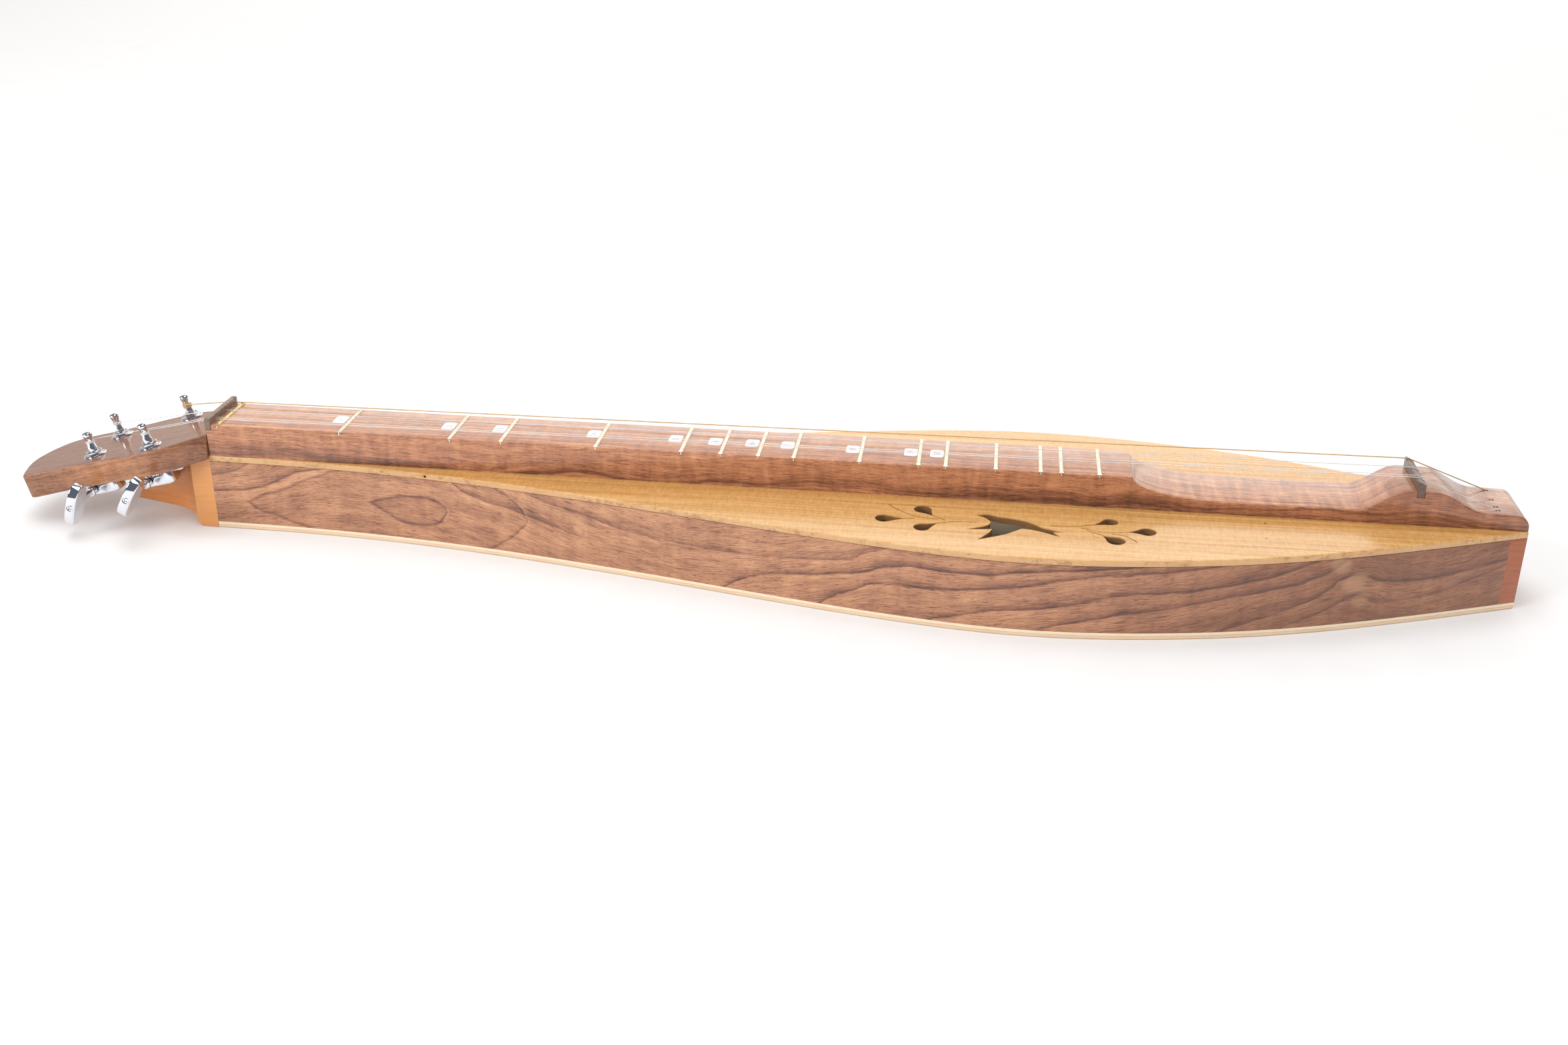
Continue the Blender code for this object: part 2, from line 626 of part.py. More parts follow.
def make_saddle():
    """A strip whose top falls away to the rear a little faster than the strings do."""
    front, rear = (SADDLE_X + face for face in SADDLE_FACES)
    low = BOARD_Z + HUMP_RISE - SADDLE_SLOT_DEPTH + GAP
    top = BOARD_Z + SADDLE_TOP
    fall = (top - board_top(TAIL_HOLE_X)) / (TAIL_HOLE_X - SADDLE_X) * SADDLE_FACES[1] + 0.3
    profile = [(front, low), (rear, low), (rear, top - fall), (SADDLE_X, top), (front, top - 0.4)]
    reach = BOARD_HALF_WIDTH - 0.3
    finish(plate("saddle", [profile], -reach, reach, upright=True), "ebonized")


# ---- head --------------------------------------------------------------------------------------------
def make_head_frame():
    """Empty on the headstock's upper face: its -X runs to the tip, its +Z stands square to the plate."""
    empty = bpy.data.objects.new("head_frame", None)
    PARTS.objects.link(empty)
    empty.location = (HEAD_ROOT[0] * MM, 0, HEAD_ROOT[1] * MM)
    empty.rotation_euler.y = -HEAD_TILT
    bpy.context.view_layer.update()
    return empty


def head_outline():
    width = natural_spline(HEAD_HALF_WIDTHS)
    last = HEAD_HALF_WIDTHS[-1][0]
    side = [(-8.0, BOARD_HALF_WIDTH)] + [(s, width(s)) for s in stations(0, last, 16)] + list(HEAD_TIP)
    upper = [(-s, y) for s, y in side]
    lower = [(x, -y) for x, y in reversed(upper[:-1])]
    return upper + lower


def make_headstock(frame):
    obj = plate("headstock", [head_outline()], -HEAD_THICKNESS, 0, frame)
    boolean(obj, box("nut_end", (HEAD_END_X - GAP, HEAD_END_X + 40), (-60, 60), (20, 90)))
    bores = []
    for _, s, y, _ in TUNERS:
        bores.append(rod("bore", (-s, y, -HEAD_THICKNESS - 5), (-s, y, 5), POST_BORE, 16, frame))
        x = lug_x(s)
        low = -HEAD_THICKNESS
        bores.append(rod("pilot", (x, y, low - 5), (x, y, low + PILOT_HOLE[1]), PILOT_HOLE[0], 8, frame))
    finish(boolean(obj, joined("head_bores", bores)), "walnut")


def lug_x(s):
    return -s + HOUSING[0] + LUG[0] - LUG[1]


def make_bushing(tag, s, y, frame):
    """Round washer, hex nut and the threaded sleeve below them, which the post turns in."""
    inner, outer, thick = WASHER
    low, top = GAP, GAP + thick
    washer = [(inner, top), (outer - 0.3, top), (outer, top - 0.3), (outer, low), (inner, low)]
    obj = turned("tuner_bushing_" + tag, washer, 24, closed=True, parent=frame)
    obj.location = (-s * MM, y * MM, 0)
    boolean(obj, rod("nut_hex", (-s, y, top - 0.4), (-s, y, top + HEX_NUT[1]), HEX_NUT[0], 6, frame), "UNION")
    boolean(obj, rod("sleeve", (-s, y, SLEEVE[2]), (-s, y, top + HEX_NUT[1] / 2), SLEEVE[0], 16, frame), "UNION")
    boolean(obj, rod("sleeve_bore", (-s, y, SLEEVE[2] - 5), (-s, y, 20), SLEEVE[1], 16, frame))
    finish(obj, "chrome")


def rounded_rectangle(half_length, half_width, radius, steps=3):
    """A rectangle with round corners, centred on the origin."""
    points = []
    for corner, (sx, sy) in enumerate(((1, -1), (1, 1), (-1, 1), (-1, -1))):
        for i in range(steps + 1):
            turn = math.radians(90 * (corner - 1) + 90 * i / steps)
            points.append((sx * (half_length - radius) + radius * math.cos(turn),
                           sy * (half_width - radius) + radius * math.sin(turn)))
    return points


def make_housing(tag, s, y, frame):
    """A cast cup, open towards the headstock, with a screw lug towards the nut."""
    half_length, half, depth, wall, corner = HOUSING
    side = math.copysign(1, y)
    top = -HEAD_THICKNESS - GAP
    shape = [(-s + u, y + v) for u, v in rounded_rectangle(half_length, half, corner)]
    obj = bevel(plate("tuner_housing_" + tag, [shape], top - depth, top, frame), 1.6, 2)
    reach, lug_half, thick, hole = LUG
    lug_loop = [(-s + half_length - 2, y - lug_half), (lug_x(s), y - lug_half)]
    lug_loop += [(lug_x(s) + lug_half * math.sin(math.radians(a)), y - lug_half * math.cos(math.radians(a)))
                 for a in (45, 90, 135)]
    lug_loop += [(lug_x(s), y + lug_half), (-s + half_length - 2, y + lug_half)]
    boolean(obj, plate("lug", [lug_loop], top - thick, top, frame), "UNION")
    inside = rounded_rectangle(half_length - wall, half - wall, corner - wall)
    hollow = [(-s + u, y + v) for u, v in inside]
    boolean(obj, plate("hollow", [hollow], top - depth + wall, top + 5, frame))
    boolean(obj, rod("lug_hole", (lug_x(s), y, top - 5), (lug_x(s), y, top + 5), hole, 8, frame))
    worm = (-s - WORM_OFFSET, -HEAD_THICKNESS - WORM_DEPTH)
    boolean(obj, rod("shaft_hole", (worm[0], y, worm[1]), (worm[0], y + side * 14, worm[1]), 2.2, 12, frame))
    finish(obj, "chrome")


def make_post(tag, s, y, frame):
    foot = -HEAD_THICKNESS + POST_FOOT
    post = turned("tuner_post_" + tag, list(POST_PROFILE) + [(2.0, foot), (0, foot)], 16, parent=frame)
    post.location = (-s * MM, y * MM, 0)
    loop = []
    for i in range(2 * GEAR_TEETH):   # the worm wheel on the post's foot
        radius = 4.3 if i % 2 else 3.7
        turn = math.pi * (i + 0.5) / GEAR_TEETH
        loop.append((radius * math.cos(turn), radius * math.sin(turn)))
    middle = -HEAD_THICKNESS - WORM_DEPTH
    gear = plate("worm_wheel", [loop], middle - 2, middle + 2, frame)
    gear.location.x = -s * MM
    gear.location.y = y * MM
    finish(boolean(post, gear, "UNION"), "chrome")


def make_knob(tag, s, y, angle, frame):
    """Worm shaft, button and button screw, modelled about +Z and then laid along the shaft's axis."""
    side = math.copysign(1, y)
    axis = bpy.data.objects.new("knob_axis_" + tag, None)
    PARTS.objects.link(axis)
    axis.parent = frame
    axis.location = ((-s - WORM_OFFSET) * MM, y * MM, (-HEAD_THICKNESS - WORM_DEPTH) * MM)
    axis.rotation_euler = (-side * math.pi / 2, 0, 0)
    bpy.context.view_layer.update()
    tip = SPIGOT[1]
    neck = BUTTON_CENTRE - BUTTON[1] - GAP
    profile = [(0, tip), (SPIGOT[0], tip), (SPIGOT[0], neck), (2.3, neck), (2.3, neck - 2), (1.7, neck - 3),
               (1.7, 11.0), (2.9, 10.6), (2.9, 8.2), (1.7, 7.8), (1.7, 4.2), (1.9, 4.0), (1.9, -4.0),
               (1.3, -4.2), (1.3, -4.8), (0, -4.8)]
    finish(turned("worm_shaft_" + tag, profile, 12, parent=axis), "chrome")
    half_length, half_depth, thick = BUTTON
    loop = []
    count = 24
    for i in range(count):            # an oval with a flatter outer edge
        turn = 2 * math.pi * i / count
        u, v = math.cos(turn), math.sin(turn)
        loop.append((half_length * math.copysign(abs(u) ** 0.8, u),
                     half_depth * math.copysign(abs(v) ** 0.75, v)))
    button = plate("tuner_button_" + tag, [loop], -thick / 2, thick / 2, axis, upright=True)
    button.location = (0, 0, BUTTON_CENTRE * MM)
    button.rotation_euler = (math.pi / 2, 0, math.radians(angle))
    bevel(button, 1.5, 2)
    boolean(button, rod("button_bore", (0, 0, 10), (0, 0, BUTTON_BORE[1]), BUTTON_BORE[0], 12, axis))
    outer = BUTTON_CENTRE + half_depth
    boolean(button, rod("screw_bore", (0, 0, BUTTON_BORE[1] + 1), (0, 0, outer + 5), BUTTON_SCREW_BORE, 8, axis))
    finish(button, "chrome")


# ---- strings -----------------------------------------------------------------------------------------
def on_head(s, y, height):
    """World position of a point over the headstock's plate."""
    return (HEAD_ROOT[0] - s * math.cos(HEAD_TILT) - height * math.sin(HEAD_TILT), y,
            HEAD_ROOT[1] - s * math.sin(HEAD_TILT) + height * math.cos(HEAD_TILT))


def make_strings():
    posts = {tag: (s, y) for tag, s, y, _ in TUNERS}
    for name, radius, nut_y, saddle_y, tail_y, tag, side in STRINGS:
        s, y = posts[tag]
        nut = Vector((NUT_X[0], nut_y, BOARD_Z + NUT_STRING_Z + radius - 0.1))
        wound_at = Vector(on_head(s, y + side * (WINDING[0] + radius), WINDING[2]))
        end = wound_at + (nut - wound_at).normalized() * (WINDING[1] + radius)
        points = [end, nut, (ZERO_FRET_X, nut_y, BOARD_Z + ZERO_FRET_CROWN[1] + THIN_GAP + radius),
                  (SADDLE_X, saddle_y, BOARD_Z + SADDLE_TOP + THIN_GAP + radius),
                  (TAIL_HOLE_X - 0.5, tail_y, board_top(TAIL_HOLE_X) + 0.5),
                  (TAIL_END_X - 0.4, tail_y, TAIL_EXIT_Z + 0.4 * string_dive())]
        obj = wire(name, points, radius)
        ends = [(TAIL_END_X - 0.4, tail_y + half * BALL[1] / 2, TAIL_EXIT_Z) for half in (-1, 1)]
        boolean(obj, rod("ball_end", *ends, BALL[0], 12), "UNION")
        finish(obj, "bronze" if tag == "d" else "steel")


def build():
    make_soundboard()
    make_back()
    make_sides()
    make_braces()
    make_head_block()
    make_tail_block()
    make_label()
    make_fretboard()
    make_frets()
    make_nut()
    make_saddle()
    frame = make_head_frame()
    make_headstock(frame)
    for tag, s, y, angle in TUNERS:
        make_bushing(tag, s, y, frame)
        make_housing(tag, s, y, frame)
        make_post(tag, s, y, frame)
        make_knob(tag, s, y, angle, frame)
    make_strings()


for old in list(bpy.data.objects):
    bpy.data.objects.remove(old)
PARTS = collection("mountain_dulcimer")
CUTTERS = collection("cutters")
build()
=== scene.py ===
"""Looks of the mountain dulcimer: fine meshes, lacquered woods, bright metals, light and camera.

Lengths are millimetres until an object is made; MM turns them into Blender's metres.  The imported
model is the frame: +X runs from the head to the tail, -Y is the player's side, +Z is up.
"""
import json
import math

import bmesh
import bpy
import numpy as np
from mathutils import Matrix, Vector
from mathutils.geometry import tessellate_polygon


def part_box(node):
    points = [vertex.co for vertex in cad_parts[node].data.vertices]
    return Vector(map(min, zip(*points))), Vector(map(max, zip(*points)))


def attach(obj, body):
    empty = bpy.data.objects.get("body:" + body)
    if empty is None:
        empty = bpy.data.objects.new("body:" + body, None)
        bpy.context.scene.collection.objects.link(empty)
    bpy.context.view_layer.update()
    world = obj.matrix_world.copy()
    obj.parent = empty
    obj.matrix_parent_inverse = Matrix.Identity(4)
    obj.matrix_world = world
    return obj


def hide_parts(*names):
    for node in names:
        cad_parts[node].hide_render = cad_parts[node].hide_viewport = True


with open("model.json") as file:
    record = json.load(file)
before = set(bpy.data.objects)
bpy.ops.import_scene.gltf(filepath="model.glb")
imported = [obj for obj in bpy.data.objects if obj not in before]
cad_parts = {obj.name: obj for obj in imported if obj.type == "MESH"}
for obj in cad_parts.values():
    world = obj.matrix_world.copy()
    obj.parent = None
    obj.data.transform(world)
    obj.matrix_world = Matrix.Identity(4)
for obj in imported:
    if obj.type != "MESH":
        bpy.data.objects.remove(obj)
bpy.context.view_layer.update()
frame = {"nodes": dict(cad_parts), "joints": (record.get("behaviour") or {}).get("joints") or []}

MM = 0.001
JOINTS = {joint["name"]: joint for joint in frame["joints"]}


def span(node):
    """The node's box as ((x0, x1), (y0, y1), (z0, z1)) in millimetres."""
    low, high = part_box(node)
    return tuple((a / MM, b / MM) for a, b in zip(low, high))


# ---- sizes read from the frame -------------------------------------------------------------------
TOP_LOW, TOP_Z = span("soundboard")[2]
HEAD_END_X, TAIL_END_X = span("soundboard")[0]
WIDEST = span("soundboard")[1][1]
SIDE_END_X = span("side_player")[0][1]
BACK_THICKNESS = span("back_plate")[2][1]
BOARD_HALF_WIDTH = span("fretboard")[1][1]
NUT_X, _, NUT_Z = span("nut")
SADDLE_SPAN = span("saddle")
HEAD_BLOCK_IN_X = span("head_block")[0][1]
TAIL_BLOCK_IN_X = span("tail_block")[0][0]
ZERO_FRET_X = sum(span("zero_fret")[0]) / 2
HEAD_NORMAL = Vector(JOINTS["post_turn_a"]["axis"])
HEAD_TILT = math.atan2(-HEAD_NORMAL.x, HEAD_NORMAL.z)

# ---- body ----------------------------------------------------------------------------------------
HALF_WIDTHS = (                       # half of the body's width along its length: a long teardrop
    (-398, 20.5), (-330, 22.3), (-270, 27.4), (-200, 37.8), (-130, 51.6), (-50, 69.6),
    (30, 86.2), (110, 95.4), (180, 90.4), (250, 75.9), (320, 52.3), (398, 20.8))
OUTLINE_STEPS = 160
SIDE_THICKNESS = 2.2
TOUCH = 0.02                          # glued pieces run this far into each other, so no light leaks
BLOCK_HALF_WIDTH = 17.9

# ---- soundholes of the player's side; the far side has them mirrored and narrower ----------------
KERF = 0.45
PATTERN_INNER_Y = 29.0                # its nearest reach to the centre line
FAR_INNER_Y = 23.5                    # the same on the far side
FAR_NARROWING = 0.86
FAR_SHIFT = -8.0                      # along X, towards the head
LEAVES = (                            # saw cut ending at the leaf's tip, far end of the leaf, its radius
    (((83, -52.3), (70, -53.5), (60, -57)), (48, -66.5), 4.8),
    (((65, -52), (61, -49.3), (57, -46)), (48, -34.2), 5.2),
    (((47, -51.8), (44, -52.4), (41, -53)), (24.2, -54.6), 5.0),
    (((125, -51.3), (140, -49.6), (151, -46)), (164, -38.6), 4.5),
    (((143, -52), (156, -55.4), (170, -53.6)), (185.5, -51), 5.1),
    (((146, -54.6), (150.5, -57.4), (155, -60.5)), (166, -70), 5.3))
STEMS = (((31, -34.5), (39, -43), (49, -49.4), (61, -51.6)), ((160, -57.4), (168, -59.8), (174, -67)))
BIRD = (                              # a swallow in flight: smooth runs between its sharp corners
    ((82.5, -42.5), (87, -40.6), (91, -40.4), (96, -42.6), (103, -44), (110, -46.2), (116, -50),
     (122, -55), (134, -59.5)),
    ((134, -59.5), (127, -60)), ((127, -60), (131, -66)),
    ((131, -66), (119, -60), (110, -57.6), (106, -60.5), (99, -67), (84, -76)),
    ((84, -76), (90, -66), (92, -60.5)), ((92, -60.5), (77, -63)),
    ((77, -63), (88, -56.5), (91, -51.5), (89.5, -47.5), (86.8, -44.6)), ((86.8, -44.6), (82.5, -42.5)))
PINHOLES = ((136, -32, 0.55), (245.5, 50, 0.55), (249, -30, 1.0), (247, -51, 0.55))
EDGE_HOLE = (-255.0, 0.9)             # small hole drilled into the near edge: x, radius

# ---- fretboard -----------------------------------------------------------------------------------
BOARD_Z = 69.7
STRING_LENGTH = 723.9
FRETS = (("1", 2), ("2", 4), ("3", 5), ("4", 7), ("5", 9), ("6", 10), ("6_half", 11), ("7", 12),
         ("8", 14), ("9", 16), ("10", 17), ("11", 19), ("12", 21), ("13", 22), ("14", 24))
STICKERS = (                          # fret, digits, centre from the fret and from the centre line
    ("1", "1", -6.6, 1.2), ("2", "2", -6.4, 0.2), ("3", "3", -5.9, 0.4), ("4", "4", -5.5, 0.7),
    ("5", "5", -6.8, -0.1), ("6", "6", -6.1, -1.1), ("6_half", "6+", -6.2, -0.4), ("7", "7", -5.9, -0.5),
    ("8", "8", -5.4, -1.5), ("9", "9", -5.5, -1.1), ("10", "10", -5.9, -1.1))
STICKER_SIZE = (8.1, 11.7)            # along X, along Y
STICKER_CORNER = 1.8
STICKER_THICKNESS = 0.12
DIGIT_SIZE = 5.2
STRUM_FLOOR_DEPTH = 12.6
STRUM_START_X = 172.0
STRUM_FLOOR_X = (226.0, 301.0)
HUMP_X = (329.0, 344.0)
HUMP_RISE = 0.5
TAIL_SHELF_X = (373.0, 389.0)
TAIL_SHELF_DEPTH = 10.6
TAIL_ROUND_RADIUS = 7.5
CHANNEL = (-372.0, 150.0, 11.0, 58.5)
BOARD_EDGE = 1.0                      # rounding of its long edges
FRET_SLOT = (0.64, 2.1)
FRET_CROWN = (2.5, 0.9)
FRET_TANG = (0.6, 1.9)
FRET_BEVEL = (0.3, 1.3)               # the crown's ends: set back, slope
ZERO_FRET_CROWN = (2.6, 1.25)
SADDLE_X = ZERO_FRET_X + STRING_LENGTH

# ---- head ----------------------------------------------------------------------------------------
HEAD_ROOT_X = -399.0
HEAD_THICKNESS = 15.6
HEAD_HALF_WIDTHS = (                  # distance from the nut along the plate, half width
    (0, 20.8), (4, 24), (10, 26.8), (19, 30.8), (28, 34), (38, 34.8), (50, 34),
    (65, 32), (80, 31), (95, 30.4), (110, 31), (123, 31.5))
HEAD_TIP = (                          # near corner, end curve and the rounder far corner
    (125.2, -30.4), (126.4, -28.3), (127.6, -25.5), (131.8, -14.0), (134.3, -4.0), (134.2, 4.0),
    (132.3, 11.5), (129.0, 18.5), (124.3, 24.3), (117.5, 28.2), (109.0, 30.3))
HEAD_EDGE = 0.9
HEEL_PLAN = ((-411.4, 20.5), (-415, 17), (-419.5, 14), (-426, 11.6), (-436, 10), (-447, 9.3), (-456, 9))
HEEL_UNDERSIDE = (                    # x, z: foot, chamfer and the long cove up under the head
    (-409, 0), (-412.3, 4.4), (-415.5, 6.2), (-420, 7.6), (-427, 8.7), (-441, 10), (-456, 12))

# ---- tuners --------------------------------------------------------------------------------------
BUTTON_ANGLES = {"a": 58.0, "b": 46.0, "c": -60.0, "d": -35.0}
GEAR_TEETH = 14
POST_BORE = 5.0
POST_PROFILE = (                      # radius, height above the plate, from the cap down
    (1.5, 15.55), (2.7, 15.1), (3.15, 14.3), (3.05, 13.2), (2.6, 12.1), (2.3, 11.0), (2.2, 9.8),
    (2.3, 8.6), (2.6, 6.8), (3.0, 4.8), (3.05, 3.0))
POST_FOOT = -7.6
WASHER = (7.2, 0.9)                   # radius, thickness
SLEEVE = (3.6, 4.5, -12.0)            # bore, radius, and the height of its foot
HEX_NUT = (5.2, 2.3)                  # radius over its corners, height
HOUSING = (10.0, 7.2, 8.8, 0.9, 4.5)  # half length, half width, depth, wall, corner radius
LUG = (7.0, 3.2, 2.0)                 # reach past the cup, half width, thickness
GEAR_RADII = (3.7, 4.3)               # between the teeth, over them
GEAR_DROP = 4.6                       # middle of the gear under the headstock
BUTTON = (13.8, 7.4, 6.2)             # half length, half depth, thickness
BUTTON_CENTRE = 29.6
BUTTON_SCREW = 2.1                    # radius of the screw's head
WINDING_RADIUS = 2.35
WINDING_HEIGHT = 9.8

# ---- strings: node, radius, y at nut, at saddle, at tail hole, tuner, side of the post -----------
STRINGS = (("string_melody_outer", 0.20, -12.5, -12.4, -14.0, "b", 1),
           ("string_melody_inner", 0.20, -9.5, -9.4, -8.6, "a", 1),
           ("string_middle", 0.23, 3.5, 2.8, 1.8, "c", -1),
           ("string_bass", 0.36, 17.8, 16.6, 15.6, "d", -1))
NUT_STRING_Z = 1.2
SADDLE_TOP = 6.2
TAIL_HOLE_X = 381.0
TAIL_EXIT_Z = 43.0
STRING_HOLE_RADIUS = 1.0
BALL_POCKET = (3.4, 2.5)              # depth from the tail's end, radius
COIL_TURNS = 3.25                     # of string round its post
COIL_STEPS = 28                       # points in each turn


# ---- shapes --------------------------------------------------------------------------------------
def linked(name, data):
    """A new object of the data, in the scene."""
    obj = bpy.data.objects.new(name, data)
    bpy.context.scene.collection.objects.link(obj)
    return obj


def new_object(name, bm):
    """Makes an object of the bmesh, with its faces pointing out."""
    bmesh.ops.recalc_face_normals(bm, faces=bm.faces)
    mesh = bpy.data.meshes.new(name)
    bm.to_mesh(mesh)
    bm.free()
    return linked(name, mesh)


def bake(obj):
    """Replaces the object's data by its evaluated mesh."""
    bpy.context.view_layer.update()
    graph = bpy.context.evaluated_depsgraph_get()
    mesh = bpy.data.meshes.new_from_object(obj.evaluated_get(graph))
    name, matrix = obj.name, obj.matrix_world.copy()
    bpy.data.objects.remove(obj)
    new = linked(name, mesh)
    new.matrix_world = matrix
    return new


def combine(obj, other, operation="DIFFERENCE"):
    """Boolean with another object, which is used up."""
    mod = obj.modifiers.new("combine", "BOOLEAN")
    mod.operation = operation
    mod.solver = "EXACT"
    mod.object = other
    result = bake(obj)
    bpy.data.objects.remove(other)
    return result


def bevelled(obj, width, segments):
    """The object with its sharp edges rounded."""
    mod = obj.modifiers.new("edge", "BEVEL")
    mod.width = width * MM
    mod.segments = segments
    mod.limit_method = "ANGLE"
    mod.angle_limit = math.radians(35)
    return bake(obj)


def joined(name, objects):
    """One object of several separate bodies, in world space."""
    bpy.context.view_layer.update()
    total = bmesh.new()
    for obj in objects:
        obj.data.transform(obj.matrix_world)
        total.from_mesh(obj.data)
        bpy.data.objects.remove(obj)
    return new_object(name, total)


def smooth(obj, degrees=30):
    obj.data.shade_smooth()
    obj.data.set_sharp_from_angle(angle=math.radians(degrees))
    return obj


def counterclockwise(loop):
    area = sum(a[0] * b[1] - b[0] * a[1] for a, b in zip(loop, loop[1:] + loop[:1]))
    return loop if area > 0 else loop[::-1]


def inset(loop, distance):
    """A counterclockwise loop moved inwards."""
    result = []
    for i, point in enumerate(loop):
        here = Vector(point)
        a = (here - Vector(loop[i - 1])).normalized()
        b = (Vector(loop[(i + 1) % len(loop)]) - here).normalized()
        across = Vector((-a.y - b.y, a.x + b.x)) / max(1 + a.dot(b), 0.35)
        result.append(tuple(here + across * distance))
    return result


def slab(name, outline, low, high, edge=0.0, holes=(), upright=False, steps=4, matrix=None, sill=None):
    """A plate between low and high with rounded edges; its outline lies in XY, or in XZ if upright.

    The outline's points at height sill stay at it, which keeps the edge there sharp.
    """
    outline = counterclockwise([tuple(p) for p in outline])
    if edge:
        turns = [math.radians(90 * i / steps) for i in range(steps + 1)]
        corner = [(edge * (1 - math.sin(a)), edge * (1 - math.cos(a))) for a in turns]
        rings = [(edge + 0.12, low)] + [(i, low + z) for i, z in corner]
        rings += [(i, high - z) for i, z in reversed(corner)] + [(edge + 0.12, high)]
    else:
        rings = [(0.0, low), (0.0, high)]
    bm = bmesh.new()

    def vert(u, v, w):
        return bm.verts.new(Vector((u, w, v) if upright else (u, v, w)) * MM)

    levels = []
    for distance, w in rings:
        loop = inset(outline, distance) if distance else outline
        levels.append([vert(u, sill if v0 == sill else v, w) for (u, v), (_, v0) in zip(loop, outline)])
    walls = [levels]
    for hole in holes:
        walls.append([[vert(u, v, w) for u, v in hole] for w in (low, high)])
    for wall in walls:
        for lower, upper in zip(wall, wall[1:]):
            for i in range(len(lower)):
                bm.faces.new((lower[i - 1], lower[i], upper[i], upper[i - 1]))
    for level in (0, -1):
        loops = [wall[level] for wall in walls]
        flat = [v for loop in loops for v in loop]
        for triangle in tessellate_polygon([[v.co for v in loop] for loop in loops]):
            bm.faces.new([flat[i] for i in triangle])
    obj = new_object(name, bm)
    if matrix:
        obj.matrix_world = matrix
    return smooth(obj)


def block(name, x, y, z):
    loop = [(x[0], y[0]), (x[1], y[0]), (x[1], y[1]), (x[0], y[1])]
    return slab(name, loop, z[0], z[1])


def turned(name, profile, steps=40, closed=False, matrix=None):
    """A solid of revolution about Z from (radius, height) points; a radius of 0 is a pole."""
    bm = bmesh.new()
    rings = []
    for radius, height in profile:
        count = steps if radius else 1
        rings.append([bm.verts.new((radius * MM * math.cos(math.tau * i / steps),
                                    radius * MM * math.sin(math.tau * i / steps), height * MM))
                      for i in range(count)])
    pairs = list(zip(rings, rings[1:]))
    if closed:
        pairs.append((rings[-1], rings[0]))
    for a, b in pairs:
        for i in range(steps):
            corners = {a[i % len(a)]: 0, a[(i + 1) % len(a)]: 0, b[(i + 1) % len(b)]: 0, b[i % len(b)]: 0}
            bm.faces.new(list(corners))
    obj = new_object(name, bm)
    if matrix:
        obj.matrix_world = matrix
    return smooth(obj)


def rod(name, start, end, radius, steps=24):
    start, end = Vector(start), Vector(end)
    turn = (end - start).to_track_quat("Z", "Y").to_matrix().to_4x4()
    matrix = Matrix.Translation(start * MM) @ turn
    length = (end - start).length
    return turned(name, [(0, length), (radius, length), (radius, 0), (0, 0)], steps, matrix=matrix)


def tube(name, points, radius, resolution=3):
    """A round wire along the points."""
    curve = bpy.data.curves.new(name, "CURVE")
    curve.dimensions = "3D"
    curve.bevel_depth = radius * MM
    curve.bevel_resolution = resolution
    curve.use_fill_caps = True
    spline = curve.splines.new("POLY")
    spline.points.add(len(points) - 1)
    for point, co in zip(spline.points, points):
        point.co = (*(Vector(co) * MM), 1)
    obj = bake(linked(name, curve))
    bm = bmesh.new()
    bm.from_mesh(obj.data)
    bmesh.ops.remove_doubles(bm, verts=bm.verts, dist=0.000001)
    bpy.data.objects.remove(obj)
    return smooth(new_object(name, bm), 50)


def catmull(points, steps=6):
    """Points of a smooth curve through the given ones."""
    if len(points) < 3:
        return [tuple(p) for p in points]
    p = [Vector(q) for q in points]
    p = [2 * p[0] - p[1]] + p + [2 * p[-1] - p[-2]]
    result = []
    for a, b, c, d in zip(p, p[1:], p[2:], p[3:]):
        for i in range(steps):
            t = i / steps
            result.append(tuple(0.5 * (2 * b + (c - a) * t + (2 * a - 5 * b + 4 * c - d) * t ** 2
                                       + (3 * b - a - 3 * c + d) * t ** 3)))
    return result + [tuple(p[-2])]


def natural_spline(points):
    """A smooth curve y(x) through the points, with no bending at its ends."""
    x, y = np.array(points, float).T
    step = np.diff(x)
    slope = np.diff(y) / step
    size = len(x)
    matrix = np.eye(size)
    right = np.zeros(size)
    for i in range(1, size - 1):
        matrix[i, i - 1:i + 2] = step[i - 1], 2 * (step[i - 1] + step[i]), step[i]
        right[i] = 6 * (slope[i] - slope[i - 1])
    bend = np.linalg.solve(matrix, right)

    def value(at):
        i = int(np.clip(np.searchsorted(x, at) - 1, 0, size - 2))
        a, b, h = x[i + 1] - at, at - x[i], step[i]
        return (bend[i] * a ** 3 + bend[i + 1] * b ** 3) / (6 * h) \
            + (y[i] / h - bend[i] * h / 6) * a + (y[i + 1] / h - bend[i + 1] * h / 6) * b
    return value


body_curve = natural_spline(HALF_WIDTHS)


def half_width(x):
    return min(body_curve(x), WIDEST)


def inset_half_width(x, distance):
    slope = (half_width(x + 1) - half_width(x - 1)) / 2
    return half_width(x) - distance * math.hypot(1, slope)


def stations(start, end, steps=OUTLINE_STEPS):
    return [start + (end - start) * i / steps for i in range(steps + 1)]


def body_outline():
    xs = stations(HEAD_END_X, TAIL_END_X)
    return [(x, -half_width(x)) for x in xs] + [(x, half_width(x)) for x in reversed(xs)]


def fret_x(semitones):
    return ZERO_FRET_X + STRING_LENGTH * (1 - 2 ** (-semitones / 12))


def ease(start, end, count):
    points = []
    for i in range(count + 1):
        t = i / count
        points.append((start[0] + (end[0] - start[0]) * t,
                       start[1] + (end[1] - start[1]) * t * t * (3 - 2 * t)))
    return points


